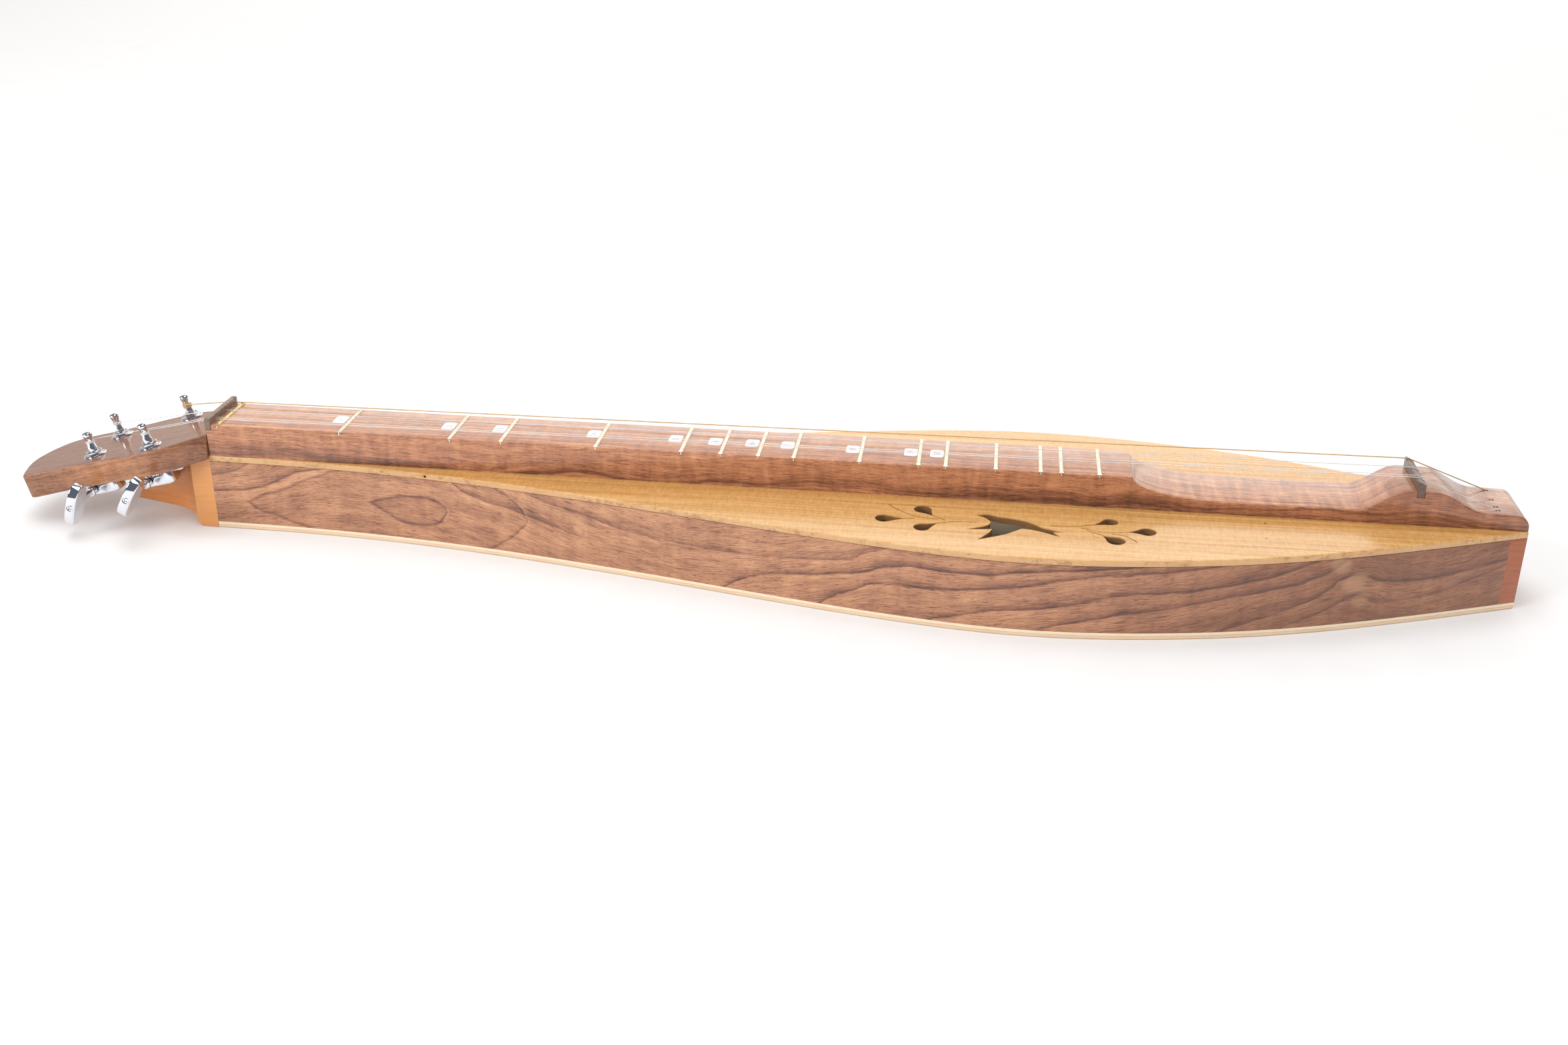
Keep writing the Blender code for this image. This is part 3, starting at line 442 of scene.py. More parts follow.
def arc(centre, radius, start, end, steps=6):
    """Points of an arc, angles in degrees."""
    turns = [math.radians(start + (end - start) * i / steps) for i in range(steps + 1)]
    return [(centre[0] + radius * math.cos(a), centre[1] + radius * math.sin(a)) for a in turns]


def rounded_rectangle(half_length, half, radius, centre=(0, 0), steps=6):
    points = []
    for corner, (sx, sy) in enumerate(((1, -1), (1, 1), (-1, 1), (-1, -1))):
        middle = (centre[0] + sx * (half_length - radius), centre[1] + sy * (half - radius))
        points += arc(middle, radius, 90 * (corner - 1), 90 * corner, steps)
    return points


def band(points, half_widths):
    """The closed outline of a band along the points, which is as wide at each as it says."""
    left, right = [], []
    for i, ((x, y), half) in enumerate(zip(points, half_widths)):
        before, after = points[max(i - 1, 0)], points[min(i + 1, len(points) - 1)]
        length = math.dist(before, after)
        across = (before[1] - after[1]) / length * half, (after[0] - before[0]) / length * half
        left.append((x + across[0], y + across[1]))
        right.append((x - across[0], y - across[1]))
    return left + right[::-1]


def leaf(cut, end, radius):
    """A saw cut that opens into a leaf: straight sides from its tip, and a round far end."""
    tip = cut[-1]
    length = math.dist(tip, end)
    centre = length - radius
    touch = centre - radius ** 2 / centre
    widest = math.sqrt(radius ** 2 - (touch - centre) ** 2)
    along, halves = [touch * 0.5, touch], [widest * 0.46, widest]
    start = math.acos((touch - centre) / radius)
    for i in range(1, 12):
        turn = start * (1 - i / 12)
        along.append(centre + radius * math.cos(turn))
        halves.append(radius * math.sin(turn))
    u = [(end[k] - tip[k]) / length for k in (0, 1)]
    inside = [(tip[0] + u[0] * a, tip[1] + u[1] * a) for a in along]
    line = catmull(cut)
    return band(line + inside, [KERF] * len(line) + halves)


def circle(centre, radius, steps=16):
    return arc(centre, radius, 0, 360 * (steps - 1) / steps, steps - 1)


def soundholes():
    loops = [leaf(*values) for values in LEAVES]
    for points in STEMS:
        line = catmull(points)
        loops.append(band(line, [KERF] * len(line)))
    loops.append([point for run in BIRD for point in catmull(run)[:-1]])
    return loops + [far_side(loop) for loop in loops]


def far_side(loop):
    """A loop of the player's side, mirrored and set closer to the fretboard."""
    return [(x + FAR_SHIFT, FAR_INNER_Y + (-y - PATTERN_INNER_Y) * FAR_NARROWING) for x, y in loop]


# ---- materials -----------------------------------------------------------------------------------
def linear(red, green, blue):
    """A colour given as display values of 0 to 255, turned into Blender's linear values."""
    values = [v / 255 for v in (red, green, blue)]
    return tuple(v / 12.92 if v < 0.04045 else ((v + 0.055) / 1.055) ** 2.4 for v in values) + (1.0,)


class Graph:
    """A material's node tree, built with short calls that return output sockets."""

    def __init__(self, name, **shader_values):
        self.material = bpy.data.materials.new(name)
        self.material.use_nodes = True
        self.nodes = self.material.node_tree.nodes
        self.links = self.material.node_tree.links
        self.shader = self.nodes["Principled BSDF"]
        for key, value in shader_values.items():
            self.shader.inputs[key.replace("_", " ")].default_value = value
        coordinate = self.nodes.new("ShaderNodeTexCoord").outputs["Object"]
        scaled = self.node("ShaderNodeVectorMath", {0: coordinate, 1: (1 / MM,) * 3}, operation="MULTIPLY")
        split = self.nodes.new("ShaderNodeSeparateXYZ")
        self.links.new(scaled, split.inputs[0])
        self.x, self.y, self.z = split.outputs

    def node(self, kind, inputs, output=0, **settings):
        new = self.nodes.new(kind)
        for key, value in settings.items():
            setattr(new, key, value)
        for key, value in inputs.items():
            self.feed(new.inputs[key], value)
        return new.outputs[output]

    def feed(self, socket, value):
        if isinstance(value, bpy.types.NodeSocket):
            self.links.new(value, socket)
        else:
            socket.default_value = value

    def math(self, operation, a, b=0.0, c=0.0):
        return self.node("ShaderNodeMath", {0: a, 1: b, 2: c}, operation=operation)

    def add(self, *values):
        total = values[0]
        for value in values[1:]:
            total = self.math("ADD", total, value)
        return total

    def times(self, a, b):
        return self.math("MULTIPLY", a, b)

    def noise(self, x, y, z, detail=2.0, roughness=0.5):
        """Noise from 0 to 1, of about one unit in size in each given coordinate."""
        vector = self.node("ShaderNodeCombineXYZ", {0: x, 1: y, 2: z})
        return self.node("ShaderNodeTexNoise", {"Vector": vector, "Scale": 1.0, "Detail": detail,
                                                "Roughness": roughness})

    def cells(self, sizes, detail=2.0, roughness=0.5, shift=0.0):
        """Noise of the given size in millimetres along each axis; shift moves it along X."""
        x, y, z = (self.over(axis, size) for axis, size in zip((self.x, self.y, self.z), sizes))
        return self.noise(self.over(self.x, sizes[0], shift) if shift else x, y, z, detail, roughness)

    def over(self, value, length, shift=0.0):
        """value / length + shift."""
        return self.math("MULTIPLY_ADD", value, 1 / length, shift)

    def swing(self, noise, amount):
        """Noise turned into a value from -amount/2 to amount/2."""
        return self.math("MULTIPLY_ADD", noise, amount, -amount / 2)

    def smoothstep(self, value, low, high, start=0.0, end=1.0):
        return self.node("ShaderNodeMapRange", {0: value, 1: low, 2: high, 3: start, 4: end},
                         interpolation_type="SMOOTHSTEP")

    def curve(self, value, points, x_range, y_range):
        """A smooth function through (x, y) points."""
        factor = self.node("ShaderNodeMapRange", {0: value, 1: x_range[0], 2: x_range[1]})
        new = self.nodes.new("ShaderNodeFloatCurve")
        curve = new.mapping.curves[0]
        width, height = x_range[1] - x_range[0], y_range[1] - y_range[0]
        placed = [((x - x_range[0]) / width, (y - y_range[0]) / height) for x, y in points]
        while len(curve.points) < len(placed):
            curve.points.new(0.5, 0.5)
        for point, place in zip(curve.points, placed):
            point.location = place
        new.mapping.update()
        self.feed(new.inputs[0], 1.0)
        self.feed(new.inputs[1], factor)
        return self.math("MULTIPLY_ADD", new.outputs[0], height, y_range[0])

    def ramp(self, factor, stops):
        """Colour ramp; a stop is (place, colour) with a display colour or one grey number."""
        new = self.nodes.new("ShaderNodeValToRGB")
        ramp = new.color_ramp
        while len(ramp.elements) < len(stops):
            ramp.elements.new(0.5)
        for element, (place, colour) in zip(ramp.elements, stops):
            element.position = place
            element.color = linear(*colour) if isinstance(colour, tuple) else (colour,) * 3 + (1.0,)
        self.feed(new.inputs[0], factor)
        return new.outputs[0]

    def mix(self, factor, a, b):
        new = self.nodes.new("ShaderNodeMix")
        new.data_type = "RGBA"
        self.feed(new.inputs[0], factor)
        self.feed(new.inputs[6], linear(*a) if isinstance(a, tuple) else a)
        self.feed(new.inputs[7], linear(*b) if isinstance(b, tuple) else b)
        return new.outputs[2]

    def finish(self, colour, bump=None, strength=0.2, distance=0.05, roughness=None):
        self.feed(self.shader.inputs["Base Color"], colour)
        if roughness is not None:
            self.feed(self.shader.inputs["Roughness"], roughness)
        if bump is not None:
            height = self.node("ShaderNodeBump", {"Strength": strength, "Distance": distance * MM,
                                                  "Height": bump})
            self.links.new(height, self.shader.inputs["Normal"])
        return self.material


LACQUER = {"Roughness": 0.45, "Coat_Weight": 0.85, "Coat_Roughness": 0.13, "Coat_IOR": 1.5,
           "Specular_IOR_Level": 0.3}
WALNUT = ((0.0, (228, 174, 130)), (0.3, (196, 140, 103)), (0.52, (160, 107, 78)), (0.72, (126, 80, 60)),
          (0.9, (92, 60, 48)), (1.0, (72, 48, 42)))

# Growth lines of the player's side: how strong each dark line is, and its (x, z) points
SIDE_RANGE = ((-400.0, 400.0), (-30.0, 80.0))
SIDE_LINES = (                         # where it fades out is given after its points
    (1.0, ((-400, 25), (-382, 27), (-369, 30), (-352, 37), (-338, 43), (-320, 47), (-290, 60), (400, 78))),
    (0.6, ((-400, 36), (-385, 40), (-368, 48), (-340, 62), (400, 78))),
    (0.8, ((-400, 78), (-270, 70), (-240, 47), (-222, 38), (-200, 33), (-170, 26), (-150, 22), (-110, 22),
           (-60, 30), (400, 78)), (-175, -145)),
    (0.5, ((-400, 78), (-225, 70), (-185, 44), (-150, 36), (-120, 30), (-80, 28), (-45, 29), (0, 33),
           (30, 44), (70, 58), (400, 78))),
    (1.0, ((-400, -28), (-95, -26), (-66, 2), (-55, 11), (-40, 17), (0, 23.5), (20, 29), (39, 35.4),
           (87, 36), (106, 39.8), (169, 44.8), (230, 54), (400, 78))),
    (1.0, ((-400, -28), (-50, -24), (0, 7), (16, 17), (31, 23.5), (62, 24), (106, 30), (131, 36),
           (166, 40.4), (200, 43), (250, 52), (400, 78))),
    (0.9, ((-400, -28), (20, -20), (62, 6), (77, 10.4), (106, 16), (137, 21), (172, 28.5), (200, 30),
           (240, 36), (275, 46), (310, 60), (400, 78))),
    (0.9, ((-400, -28), (85, -20), (125, 6), (147, 12), (166, 16), (200, 21), (237, 27.4), (265, 33),
           (284, 41), (310, 60), (400, 78))),
    (0.9, ((-400, -28), (180, -20), (225, 5.5), (250, 13), (270, 20.5), (285, 29), (293, 34), (300, 33.5),
           (312, 29), (325, 27.2), (350, 28), (369, 30.5), (400, 35))),
    (0.55, ((-400, -28), (220, -20), (259, 5.5), (275, 10.5), (288, 16), (301, 21), (312, 16), (328, 15),
            (350, 18), (375, 25), (400, 34))))
SIDE_FLOW = ((-400, 0), (-360, 6), (-330, 12), (-290, 14), (-240, 13), (-205, 8), (-170, 0), (-130, -7),
             (-90, -9), (-50, -5), (0, 5), (40, 15), (85, 17), (130, 24), (200, 33), (285, 50), (300, 51),
             (325, 45), (350, 46), (400, 54))
# Closed tongues: x, middle height and half height; (x, middle), (x, half)
FLAME_MIDDLE = ((-400, 19), (-375, 19), (-340, 20), (-300, 24), (-240, 27), (-190, 27), (400, 27))
FLAME_HALF = ((-400, -8), (-377, 0), (-368, 5), (-356, 9), (-346, 13), (-330, 19), (-300, 25), (-230, 26),
              (-205, 17), (-193, 8), (-188, 0), (-180, -12), (400, -20))
EYE_MIDDLE = ((-400, 26), (-294, 26), (-270, 23), (-250, 24), (-243, 25), (400, 25))
EYE_HALF = ((-400, -20), (-302, -5), (-294, 0), (-283, 4.5), (-272, 8.5), (-262, 9.8), (-252, 8.5),
            (-246, 5), (-242, 0), (-236, -8), (400, -20))
SIDE_KNOTS = ((286, 41, 6.5, 6.0), (297, 30, 7.5, 6.5), (303, 18, 6.0, 5.0))    # x, z, their half sizes
LINE_REACH = 12.0
LINE_PROFILE = (                       # darkness across a growth line, from LINE_REACH below it to above
    (0.0, 0.5), (0.25, 0.47), (0.42, 0.36), (0.465, 0.44), (0.487, 0.95), (0.512, 1.0), (0.55, 0.74),
    (0.64, 0.57), (0.8, 0.5), (1.0, 0.5))
TONGUE_PROFILE = ((0.0, 0.5), (0.36, 0.52), (0.44, 0.62), (0.486, 0.95), (0.514, 0.9), (0.545, 0.5),
                  (0.62, 0.4), (0.78, 0.46), (1.0, 0.5))


def growth_line(g, distance, profile, strength):
    """Darkness that a growth line adds at a signed distance from it."""
    place = g.math("MULTIPLY_ADD", distance, 1 / (2 * LINE_REACH), 0.5)
    return g.times(g.swing(g.ramp(place, profile), 1.0), strength)


def wood_fibres(g, along, across, through, streak=0.45, length=13.0, curl=1.0):
    """Fine streaks and open pores that follow the grain: (soft streaks, pores)."""
    wave = g.noise(g.over(along, 9.0), g.over(across, 6.0), g.over(through, 9.0), 2.0)
    lifted = g.add(across, g.swing(wave, 1.6 * curl))
    fine = g.noise(g.over(along, length), g.over(lifted, streak), g.over(through, 1.5), 3.0, 0.65)
    short = g.noise(g.over(along, 4.0, 7.3), g.over(lifted, 0.34), g.over(through, 1.0), 1.0, 0.5)
    long = g.noise(g.over(along, 13.0, 1.7), g.over(lifted, 0.56), g.over(through, 1.2), 2.0, 0.5)
    pores = g.math("MAXIMUM", g.smoothstep(short, 0.56, 0.7), g.smoothstep(long, 0.56, 0.68))
    return fine, pores


def side_walnut(name, player):
    """Figured walnut; the player's side has its own drawn growth lines and three pale knots."""
    g = Graph(name, **LACQUER)
    slow = g.cells((60.0, 300.0, 20.0))
    quick = g.cells((14.0, 300.0, 6.0), 2.0, shift=3.1)
    x = g.add(g.x, g.swing(g.noise(g.over(g.x, 40.0, 9.0), 0.3, g.over(g.z, 14.0)), 12.0))
    z = g.add(g.z, g.swing(slow, 3.0), g.swing(quick, 2.0))
    flow = g.curve(x, SIDE_FLOW, *SIDE_RANGE)
    across = g.math("SUBTRACT", z, flow)
    if player:
        wisp = g.smoothstep(g.noise(g.over(g.x, 26.0), 0.9, g.over(g.z, 7.0), 2.0), 0.3, 0.56, 0.55, 1.15)
        shades = []
        for strength, points, *fade in SIDE_LINES:
            distance = g.math("SUBTRACT", z, g.curve(x, points, *SIDE_RANGE))
            amount = g.times(wisp, strength)
            for start, end in fade:
                amount = g.times(amount, g.smoothstep(x, start, end, 1.0, 0.15))
            shades.append(growth_line(g, distance, LINE_PROFILE, amount))
        for middle, half, strength in ((FLAME_MIDDLE, FLAME_HALF, 0.75), (EYE_MIDDLE, EYE_HALF, 0.9)):
            off = g.math("ABSOLUTE", g.math("SUBTRACT", z, g.curve(x, middle, *SIDE_RANGE)))
            distance = g.math("SUBTRACT", off, g.curve(x, half, *SIDE_RANGE))
            shades.append(growth_line(g, distance, TONGUE_PROFILE, g.times(wisp, strength)))
        figure = g.add(*shades)
    else:
        rise = g.noise(g.over(g.x, 150.0, 4.0), 0.0, g.over(g.z, 60.0), 1.0)
        ring = g.add(g.over(across, 13.0), g.swing(rise, 5.0))
        figure = g.times(g.swing(g.ramp(g.math("FRACT", ring), LINE_PROFILE), 1.0), 0.8)
    fine, pores = wood_fibres(g, x, across, 0.0)
    clouds = g.noise(g.over(g.x, 38.0, 2.0), 0.5, g.over(across, 6.0), 3.0, 0.6)
    curls = g.noise(g.over(g.x, 8.0), 0.7, g.over(g.z, 30.0), 2.0)
    towards_tail = g.smoothstep(g.x, 60.0, 300.0, 0.0, 0.15)
    dark = g.add(0.36, g.times(figure, 0.7), g.swing(fine, 0.85), g.times(pores, 0.32),
                 g.swing(clouds, 0.6), g.swing(curls, 0.26), towards_tail)
    colour = g.mix(g.times(towards_tail, 2.0), g.ramp(dark, WALNUT), (122, 70, 42))
    if player:                         # pale, cloudy knots near the tail
        spots = []
        for kx, kz, wide, tall in SIDE_KNOTS:
            dx = g.math("MULTIPLY_ADD", x, 1 / wide, -kx / wide)
            dz = g.math("MULTIPLY_ADD", z, 1 / tall, -kz / tall)
            reach = g.add(g.times(dx, dx), g.times(dz, dz), g.swing(clouds, 1.6), g.swing(fine, 0.9))
            spots.append(g.smoothstep(reach, 0.0, 1.5, 1.0, 0.0))
        pale = g.math("MAXIMUM", g.math("MAXIMUM", spots[0], spots[1]), g.times(spots[2], 0.6))
        colour = g.mix(g.times(pale, 0.42), colour, (206, 160, 118))
    rough = g.math("MULTIPLY_ADD", fine, 0.12, 0.38)
    return g.finish(colour, g.add(fine, g.times(pores, -1.2)), 0.25, 0.03, rough)


BOARD = ((0.0, (234, 178, 130)), (0.3, (202, 140, 102)), (0.55, (160, 104, 76)), (0.78, (114, 72, 54)),
         (1.0, (76, 50, 42)))


def board_walnut():
    """Reddish curly walnut: cross bands, and long dark lines low on its sides."""
    g = Graph("board_walnut", **LACQUER)
    wave = g.cells((26.0, 40.0, 14.0), 2.0)
    across = g.add(g.z, g.swing(wave, 5.0), g.times(g.y, 0.12))
    fine, pores = wood_fibres(g, g.x, across, g.y, 0.45, 11.0, 1.5)
    curl = g.cells((6.5, 22.0, 22.0), 2.0, 0.6)
    low = g.noise(g.over(g.x, 62.0, 5.0), g.over(g.y, 90.0), 0.2, 1.0)
    depth = g.add(across, g.swing(low, 16.0))
    lines = g.noise(g.over(g.x, 240.0), g.over(g.y, 4.0), g.over(depth, 3.2), 3.0, 0.6)
    below = g.smoothstep(depth, 50.0, 57.0, 1.0, 0.0)
    streaks = g.times(below, g.smoothstep(lines, 0.35, 0.62))
    tail = g.smoothstep(g.x, 280.0, 330.0)
    inward = BOARD_HALF_WIDTH - 1.0
    upper = g.smoothstep(g.math("ABSOLUTE", g.y), inward, inward + 0.6, 1.0, 0.0)
    hollow = g.smoothstep(g.z, BOARD_Z - 2.0, BOARD_Z - 0.4, 1.0, 0.0)
    ripple = g.noise(g.over(g.x, 4.5, 2.0), g.over(g.y, 40.0), 0.3, 1.0)
    bands = g.noise(g.over(g.x, 70.0), g.over(g.y, 2.2), 0.6, 3.0, 0.6)
    ripples = g.times(g.swing(ripple, 0.5), g.times(upper, hollow))
    shades = g.add(g.swing(fine, 0.7), g.times(pores, 0.24), g.swing(curl, 0.45), g.swing(lines, 0.45))
    soft = g.add(g.swing(fine, 0.6), g.times(pores, 0.07), g.swing(bands, 1.0), g.swing(curl, 0.3), ripples)
    dark = g.add(g.math("MULTIPLY_ADD", upper, 0.02, 0.36), g.times(shades, g.math("SUBTRACT", 1.0, upper)),
                 g.times(soft, upper), g.times(streaks, 0.3), g.times(tail, 0.1))
    colour = g.mix(g.times(tail, 0.25), g.ramp(dark, BOARD), (142, 88, 58))
    rough = g.math("MULTIPLY_ADD", fine, 0.12, 0.36)
    return g.finish(colour, g.add(fine, g.times(pores, -1.2)), 0.2, 0.03, rough)


def head_walnut():
    """Headstock: brown, tight-grained top and redder, curly sides."""
    g = Graph("head_walnut", **LACQUER)
    wave = g.cells((22.0, 18.0, 10.0), 2.0)
    across = g.add(g.y, g.times(g.z, 1.6), g.swing(wave, 5.0))
    fine, pores = wood_fibres(g, g.x, across, g.z, 0.5, 12.0, 1.2)
    rings = g.noise(g.over(g.x, 110.0), g.over(across, 4.5), 0.0, 2.0, 0.6)
    curl = g.cells((9.0, 26.0, 16.0), 2.0)
    side = g.smoothstep(g.z, -1.2, -0.4, 1.0, 0.0)
    middle = g.smoothstep(g.math("ABSOLUTE", g.math("ADD", g.x, 62.0)), 12.0, 48.0, -0.16, 0.08)
    dark = g.add(0.45, g.swing(fine, 0.75), g.times(pores, 0.34), g.swing(rings, 0.6),
                 g.times(g.add(g.swing(curl, 0.5), middle), side))
    top = g.ramp(dark, ((0.0, (200, 144, 104)), (0.5, (150, 102, 76)), (1.0, (84, 57, 46))))
    flank = g.ramp(dark, ((0.0, (220, 156, 102)), (0.3, (184, 124, 82)), (0.55, (144, 92, 63)),
                          (0.78, (102, 64, 48)), (1.0, (68, 46, 40))))
    colour = g.mix(side, top, flank)
    rough = g.math("MULTIPLY_ADD", fine, 0.12, 0.34)
    return g.finish(colour, g.add(fine, g.times(pores, -1.0)), 0.2, 0.03, rough)


def top_wood():
    """Golden softwood: straight, close rings along X, silky cross flecks, darker towards the middle and
    lighter towards the edges as a painted sheen.
    """
    g = Graph("top_wood", **{**LACQUER, "Coat_Roughness": 0.22})
    wander = g.noise(g.over(g.x, 160.0), g.over(g.y, 30.0), 0.0, 1.0)
    across = g.add(g.y, g.swing(wander, 6.0))
    grain = g.noise(g.over(g.x, 220.0), g.over(across, 0.9), g.over(g.z, 3.0), 2.0, 0.6)
    broad = g.noise(g.over(g.x, 300.0), g.over(across, 5.0), 0.0, 2.0, 0.6)
    flecks = g.cells((1.6, 6.0, 4.0), 2.0, 0.6)
    fibres = g.cells((9.0, 0.28, 0.5), 2.0)
    # painted sheen: the plate's colour grows lighter towards its outer edges
    painted_sheen_outward = g.smoothstep(g.math("ABSOLUTE", g.y), 22.0, 92.0)
    dark = g.add(0.57, g.swing(grain, 0.8), g.swing(broad, 0.55), g.swing(flecks, 0.45),
                 g.swing(fibres, 0.4), g.times(painted_sheen_outward, -0.16))
    colour = g.ramp(dark, ((0.0, (240, 204, 150)), (0.4, (228, 178, 112)), (0.62, (210, 155, 86)),
                           (1.0, (164, 110, 56))))
    patches = g.noise(g.over(g.x, 5.5), 0.0, g.over(g.z, 3.0), 3.0, 0.7)
    gate = g.noise(g.over(g.x, 16.0), 0.4, 0.0, 1.0)
    edge = g.smoothstep(g.z, TOP_Z - 1.0, TOP_Z - 0.3, 1.0, 0.0)
    spot = g.times(g.times(g.smoothstep(patches, 0.48, 0.6), g.smoothstep(gate, 0.42, 0.56)), edge)
    colour = g.mix(g.times(edge, 0.75), colour, (212, 168, 122))
    colour = g.mix(g.times(spot, 0.5), colour, (150, 100, 64))
    inner = g.smoothstep(g.math("ABSOLUTE", g.y), 77.5, 79.5, 1.0, 0.0)     # the soundholes' walls
    inner = g.times(inner, g.smoothstep(g.x, 12.0, 16.0))
    inner = g.times(inner, g.smoothstep(g.x, 195.0, 200.0, 1.0, 0.0))
    colour = g.mix(g.times(g.times(inner, edge), 0.75), colour, (122, 84, 52))
    rough = g.math("MULTIPLY_ADD", grain, 0.12, 0.38)
    return g.finish(colour, g.add(grain, fibres), 0.15, 0.03, rough)


def cherry(name="cherry", light=(230, 152, 78), deep=(186, 103, 42), painted_highlight_on_block=0.0):
    """Orange cherry: fine even grain with soft flecks; the last argument lightens the head block's face as a
    painted highlight.
    """
    g = Graph(name, **LACQUER)
    wander = g.cells((40.0, 30.0, 18.0), 1.0)
    across = g.add(g.z, g.times(g.y, 0.4), g.swing(wander, 8.0))
    grain = g.noise(g.over(g.x, 60.0), g.over(g.y, 12.0), g.over(across, 1.2), 3.0, 0.6)
    flecks = g.cells((3.0, 0.7, 0.7), 1.0)
    blush = g.cells((25.0, 25.0, 25.0), 2.0)
    dark = g.add(0.5, g.swing(grain, 0.8), g.swing(flecks, 0.25), g.swing(blush, 0.5))
    colour = g.ramp(dark, ((0.1, light), (0.9, deep)))
    # painted highlight: the head block's face is mixed towards pale orange, standing in for the key light on
    # it
    block_face_highlight = g.smoothstep(g.x, HEEL_PLAN[0][0] - 1.0, HEEL_PLAN[0][0] + 0.5, 0.0, painted_highlight_on_block)
    colour = g.mix(block_face_highlight, colour, (246, 178, 108))
    return g.finish(colour, g.add(grain, flecks), 0.12, 0.03, g.math("MULTIPLY_ADD", grain, 0.1, 0.36))


def maple():
    """Cream veneer with faint lengthwise grain."""
    g = Graph("maple", **LACQUER)
    grain = g.cells((45.0, 1.4, 0.6), 3.0, 0.6)
    flecks = g.cells((4.0, 1.0, 1.0), 1.0)
    dark = g.add(0.5, g.swing(grain, 0.9), g.swing(flecks, 0.4))
    return g.finish(g.ramp(dark, ((0.1, (255, 240, 214)), (0.9, (240, 214, 176)))), grain, 0.1, 0.02)


def spruce():
    """Bare spruce of the linings and braces."""
    g = Graph("spruce", Roughness=0.7)
    grain = g.cells((60.0, 0.9, 0.9), 2.0)
    return g.finish(g.ramp(grain, ((0.3, (232, 200, 150)), (0.7, (198, 156, 104)))), grain, 0.2, 0.05)


def ebonized(name, depth=0.0):
    """Dark grey-brown hardwood of nut and saddle, a little worn; depth darkens it."""
    g = Graph(name, Roughness=0.4, Coat_Weight=0.3, Coat_Roughness=0.2)
    grain = g.cells((0.5, 7.0, 0.6), 3.0, 0.6)
    wear = g.cells((4.0, 3.0, 2.0), 2.0)
    dark = g.add(g.times(grain, 0.7), g.times(wear, 0.3), depth)
    colour = g.ramp(dark, ((0.25, (166, 138, 120)), (0.5, (130, 104, 88)), (0.75, (82, 64, 54))))
    return g.finish(colour, grain, 0.2, 0.04)


def metal(name, light, deep, roughness, streak=(0.35, 6.0, 0.35), contrast=0.35, metallic=1.0):
    """Polished or drawn metal with faint tarnish and fine lengthwise marks."""
    g = Graph(name, Metallic=metallic)
    marks = g.cells(streak, 2.0)
    cloud = g.cells((5.0, 5.0, 5.0), 2.0)
    shade = g.add(g.times(marks, contrast), g.times(cloud, 1 - contrast))
    colour = g.ramp(shade, ((0.25, light), (0.8, deep)))
    rough = g.math("MULTIPLY_ADD", g.add(marks, cloud), roughness * 0.4, roughness * 0.6)
    return g.finish(colour, marks, 0.08, 0.01, rough)


def wound_bronze():
    """Bronze wrap wire: fine turns along the string."""
    g = Graph("bronze", Metallic=0.6)
    turns = g.math("SINE", g.times(g.x, math.tau / 0.32))
    cloud = g.cells((9.0, 4.0, 4.0), 2.0)
    colour = g.ramp(cloud, ((0.3, (246, 220, 172)), (0.7, (228, 192, 138))))
    return g.finish(colour, turns, 0.4, 0.05, g.math("MULTIPLY_ADD", cloud, 0.2, 0.4))


def paper():
    g = Graph("paper", Roughness=0.8)
    pulp = g.cells((0.8, 0.8, 0.8), 3.0, 0.6)
    return g.finish(g.ramp(pulp, ((0.3, (244, 240, 230)), (0.7, (226, 220, 206)))), pulp, 0.15, 0.02)


def sticker_vinyl():
    """Slightly glossy white vinyl with a faint mottle."""
    g = Graph("sticker_vinyl", Roughness=0.35, Coat_Weight=0.3, Coat_Roughness=0.2)
    mottle = g.noise(g.over(g.x, 1.5), g.over(g.y, 1.5), 0.0, 2.0)
    return g.finish(g.ramp(mottle, ((0.2, (246, 244, 246)), (0.8, (232, 230, 234)))), mottle, 0.1, 0.02)


def ink():
    g = Graph("ink", Roughness=0.5)
    mottle = g.noise(g.over(g.x, 0.6), g.over(g.y, 0.6), 0.0, 2.0)
    return g.finish(g.ramp(mottle, ((0.3, (176, 178, 190)), (0.7, (150, 152, 166)))), mottle, 0.1, 0.01)


LOOKS = {
    "side_player": side_walnut("side_walnut_player", True),
    "side_far": side_walnut("side_walnut_far", False),
    "board": board_walnut(),
    "head": head_walnut(),
    "top": top_wood(),
    # the head block's face gets a painted highlight
    "cherry": cherry(painted_highlight_on_block=0.45),
    "tail_cherry": cherry("tail_cherry", (192, 108, 64), (146, 74, 42)),
    "back": cherry("back_cherry", (246, 218, 188), (228, 190, 152)),
    "maple": maple(),
    "spruce": spruce(),
    "nut": ebonized("ebonized_nut"),
    "saddle": ebonized("ebonized_saddle", 0.16),
    "brass": metal("brass", (240, 222, 170), (212, 190, 132), 0.34, metallic=0.85),
    "frets": metal("fret_metal", (248, 243, 226), (230, 222, 196), 0.36, metallic=0.75),
    "chrome": metal("chrome", (236, 238, 242), (220, 222, 228), 0.06, (3.0, 3.0, 3.0), 0.2),
    "steel": metal("steel", (252, 251, 250), (238, 237, 238), 0.6, metallic=0.45),
    "bronze": wound_bronze(),
    "paper": paper(),
    "vinyl": sticker_vinyl(),
    "ink": ink(),
}


def show(obj, look, body="root", replaced=()):
    """Gives a finished piece its material, its body and the CAD nodes it replaces."""
    obj.data.materials.clear()
    obj.data.materials.append(LOOKS[look])
    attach(obj, body)
    if replaced:
        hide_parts(*replaced)
    return obj


def keep(node, look):
    """A CAD node that stays, with a better material."""
    data = frame["nodes"][node].data
    data.materials.clear()
    data.materials.append(LOOKS[look])


# ---- body ----------------------------------------------------------------------------------------
def string_dive():
    """Slope of the string holes through the tail, a positive number."""
    return (board_top(TAIL_HOLE_X) - TAIL_EXIT_Z) / (TAIL_END_X - TAIL_HOLE_X)


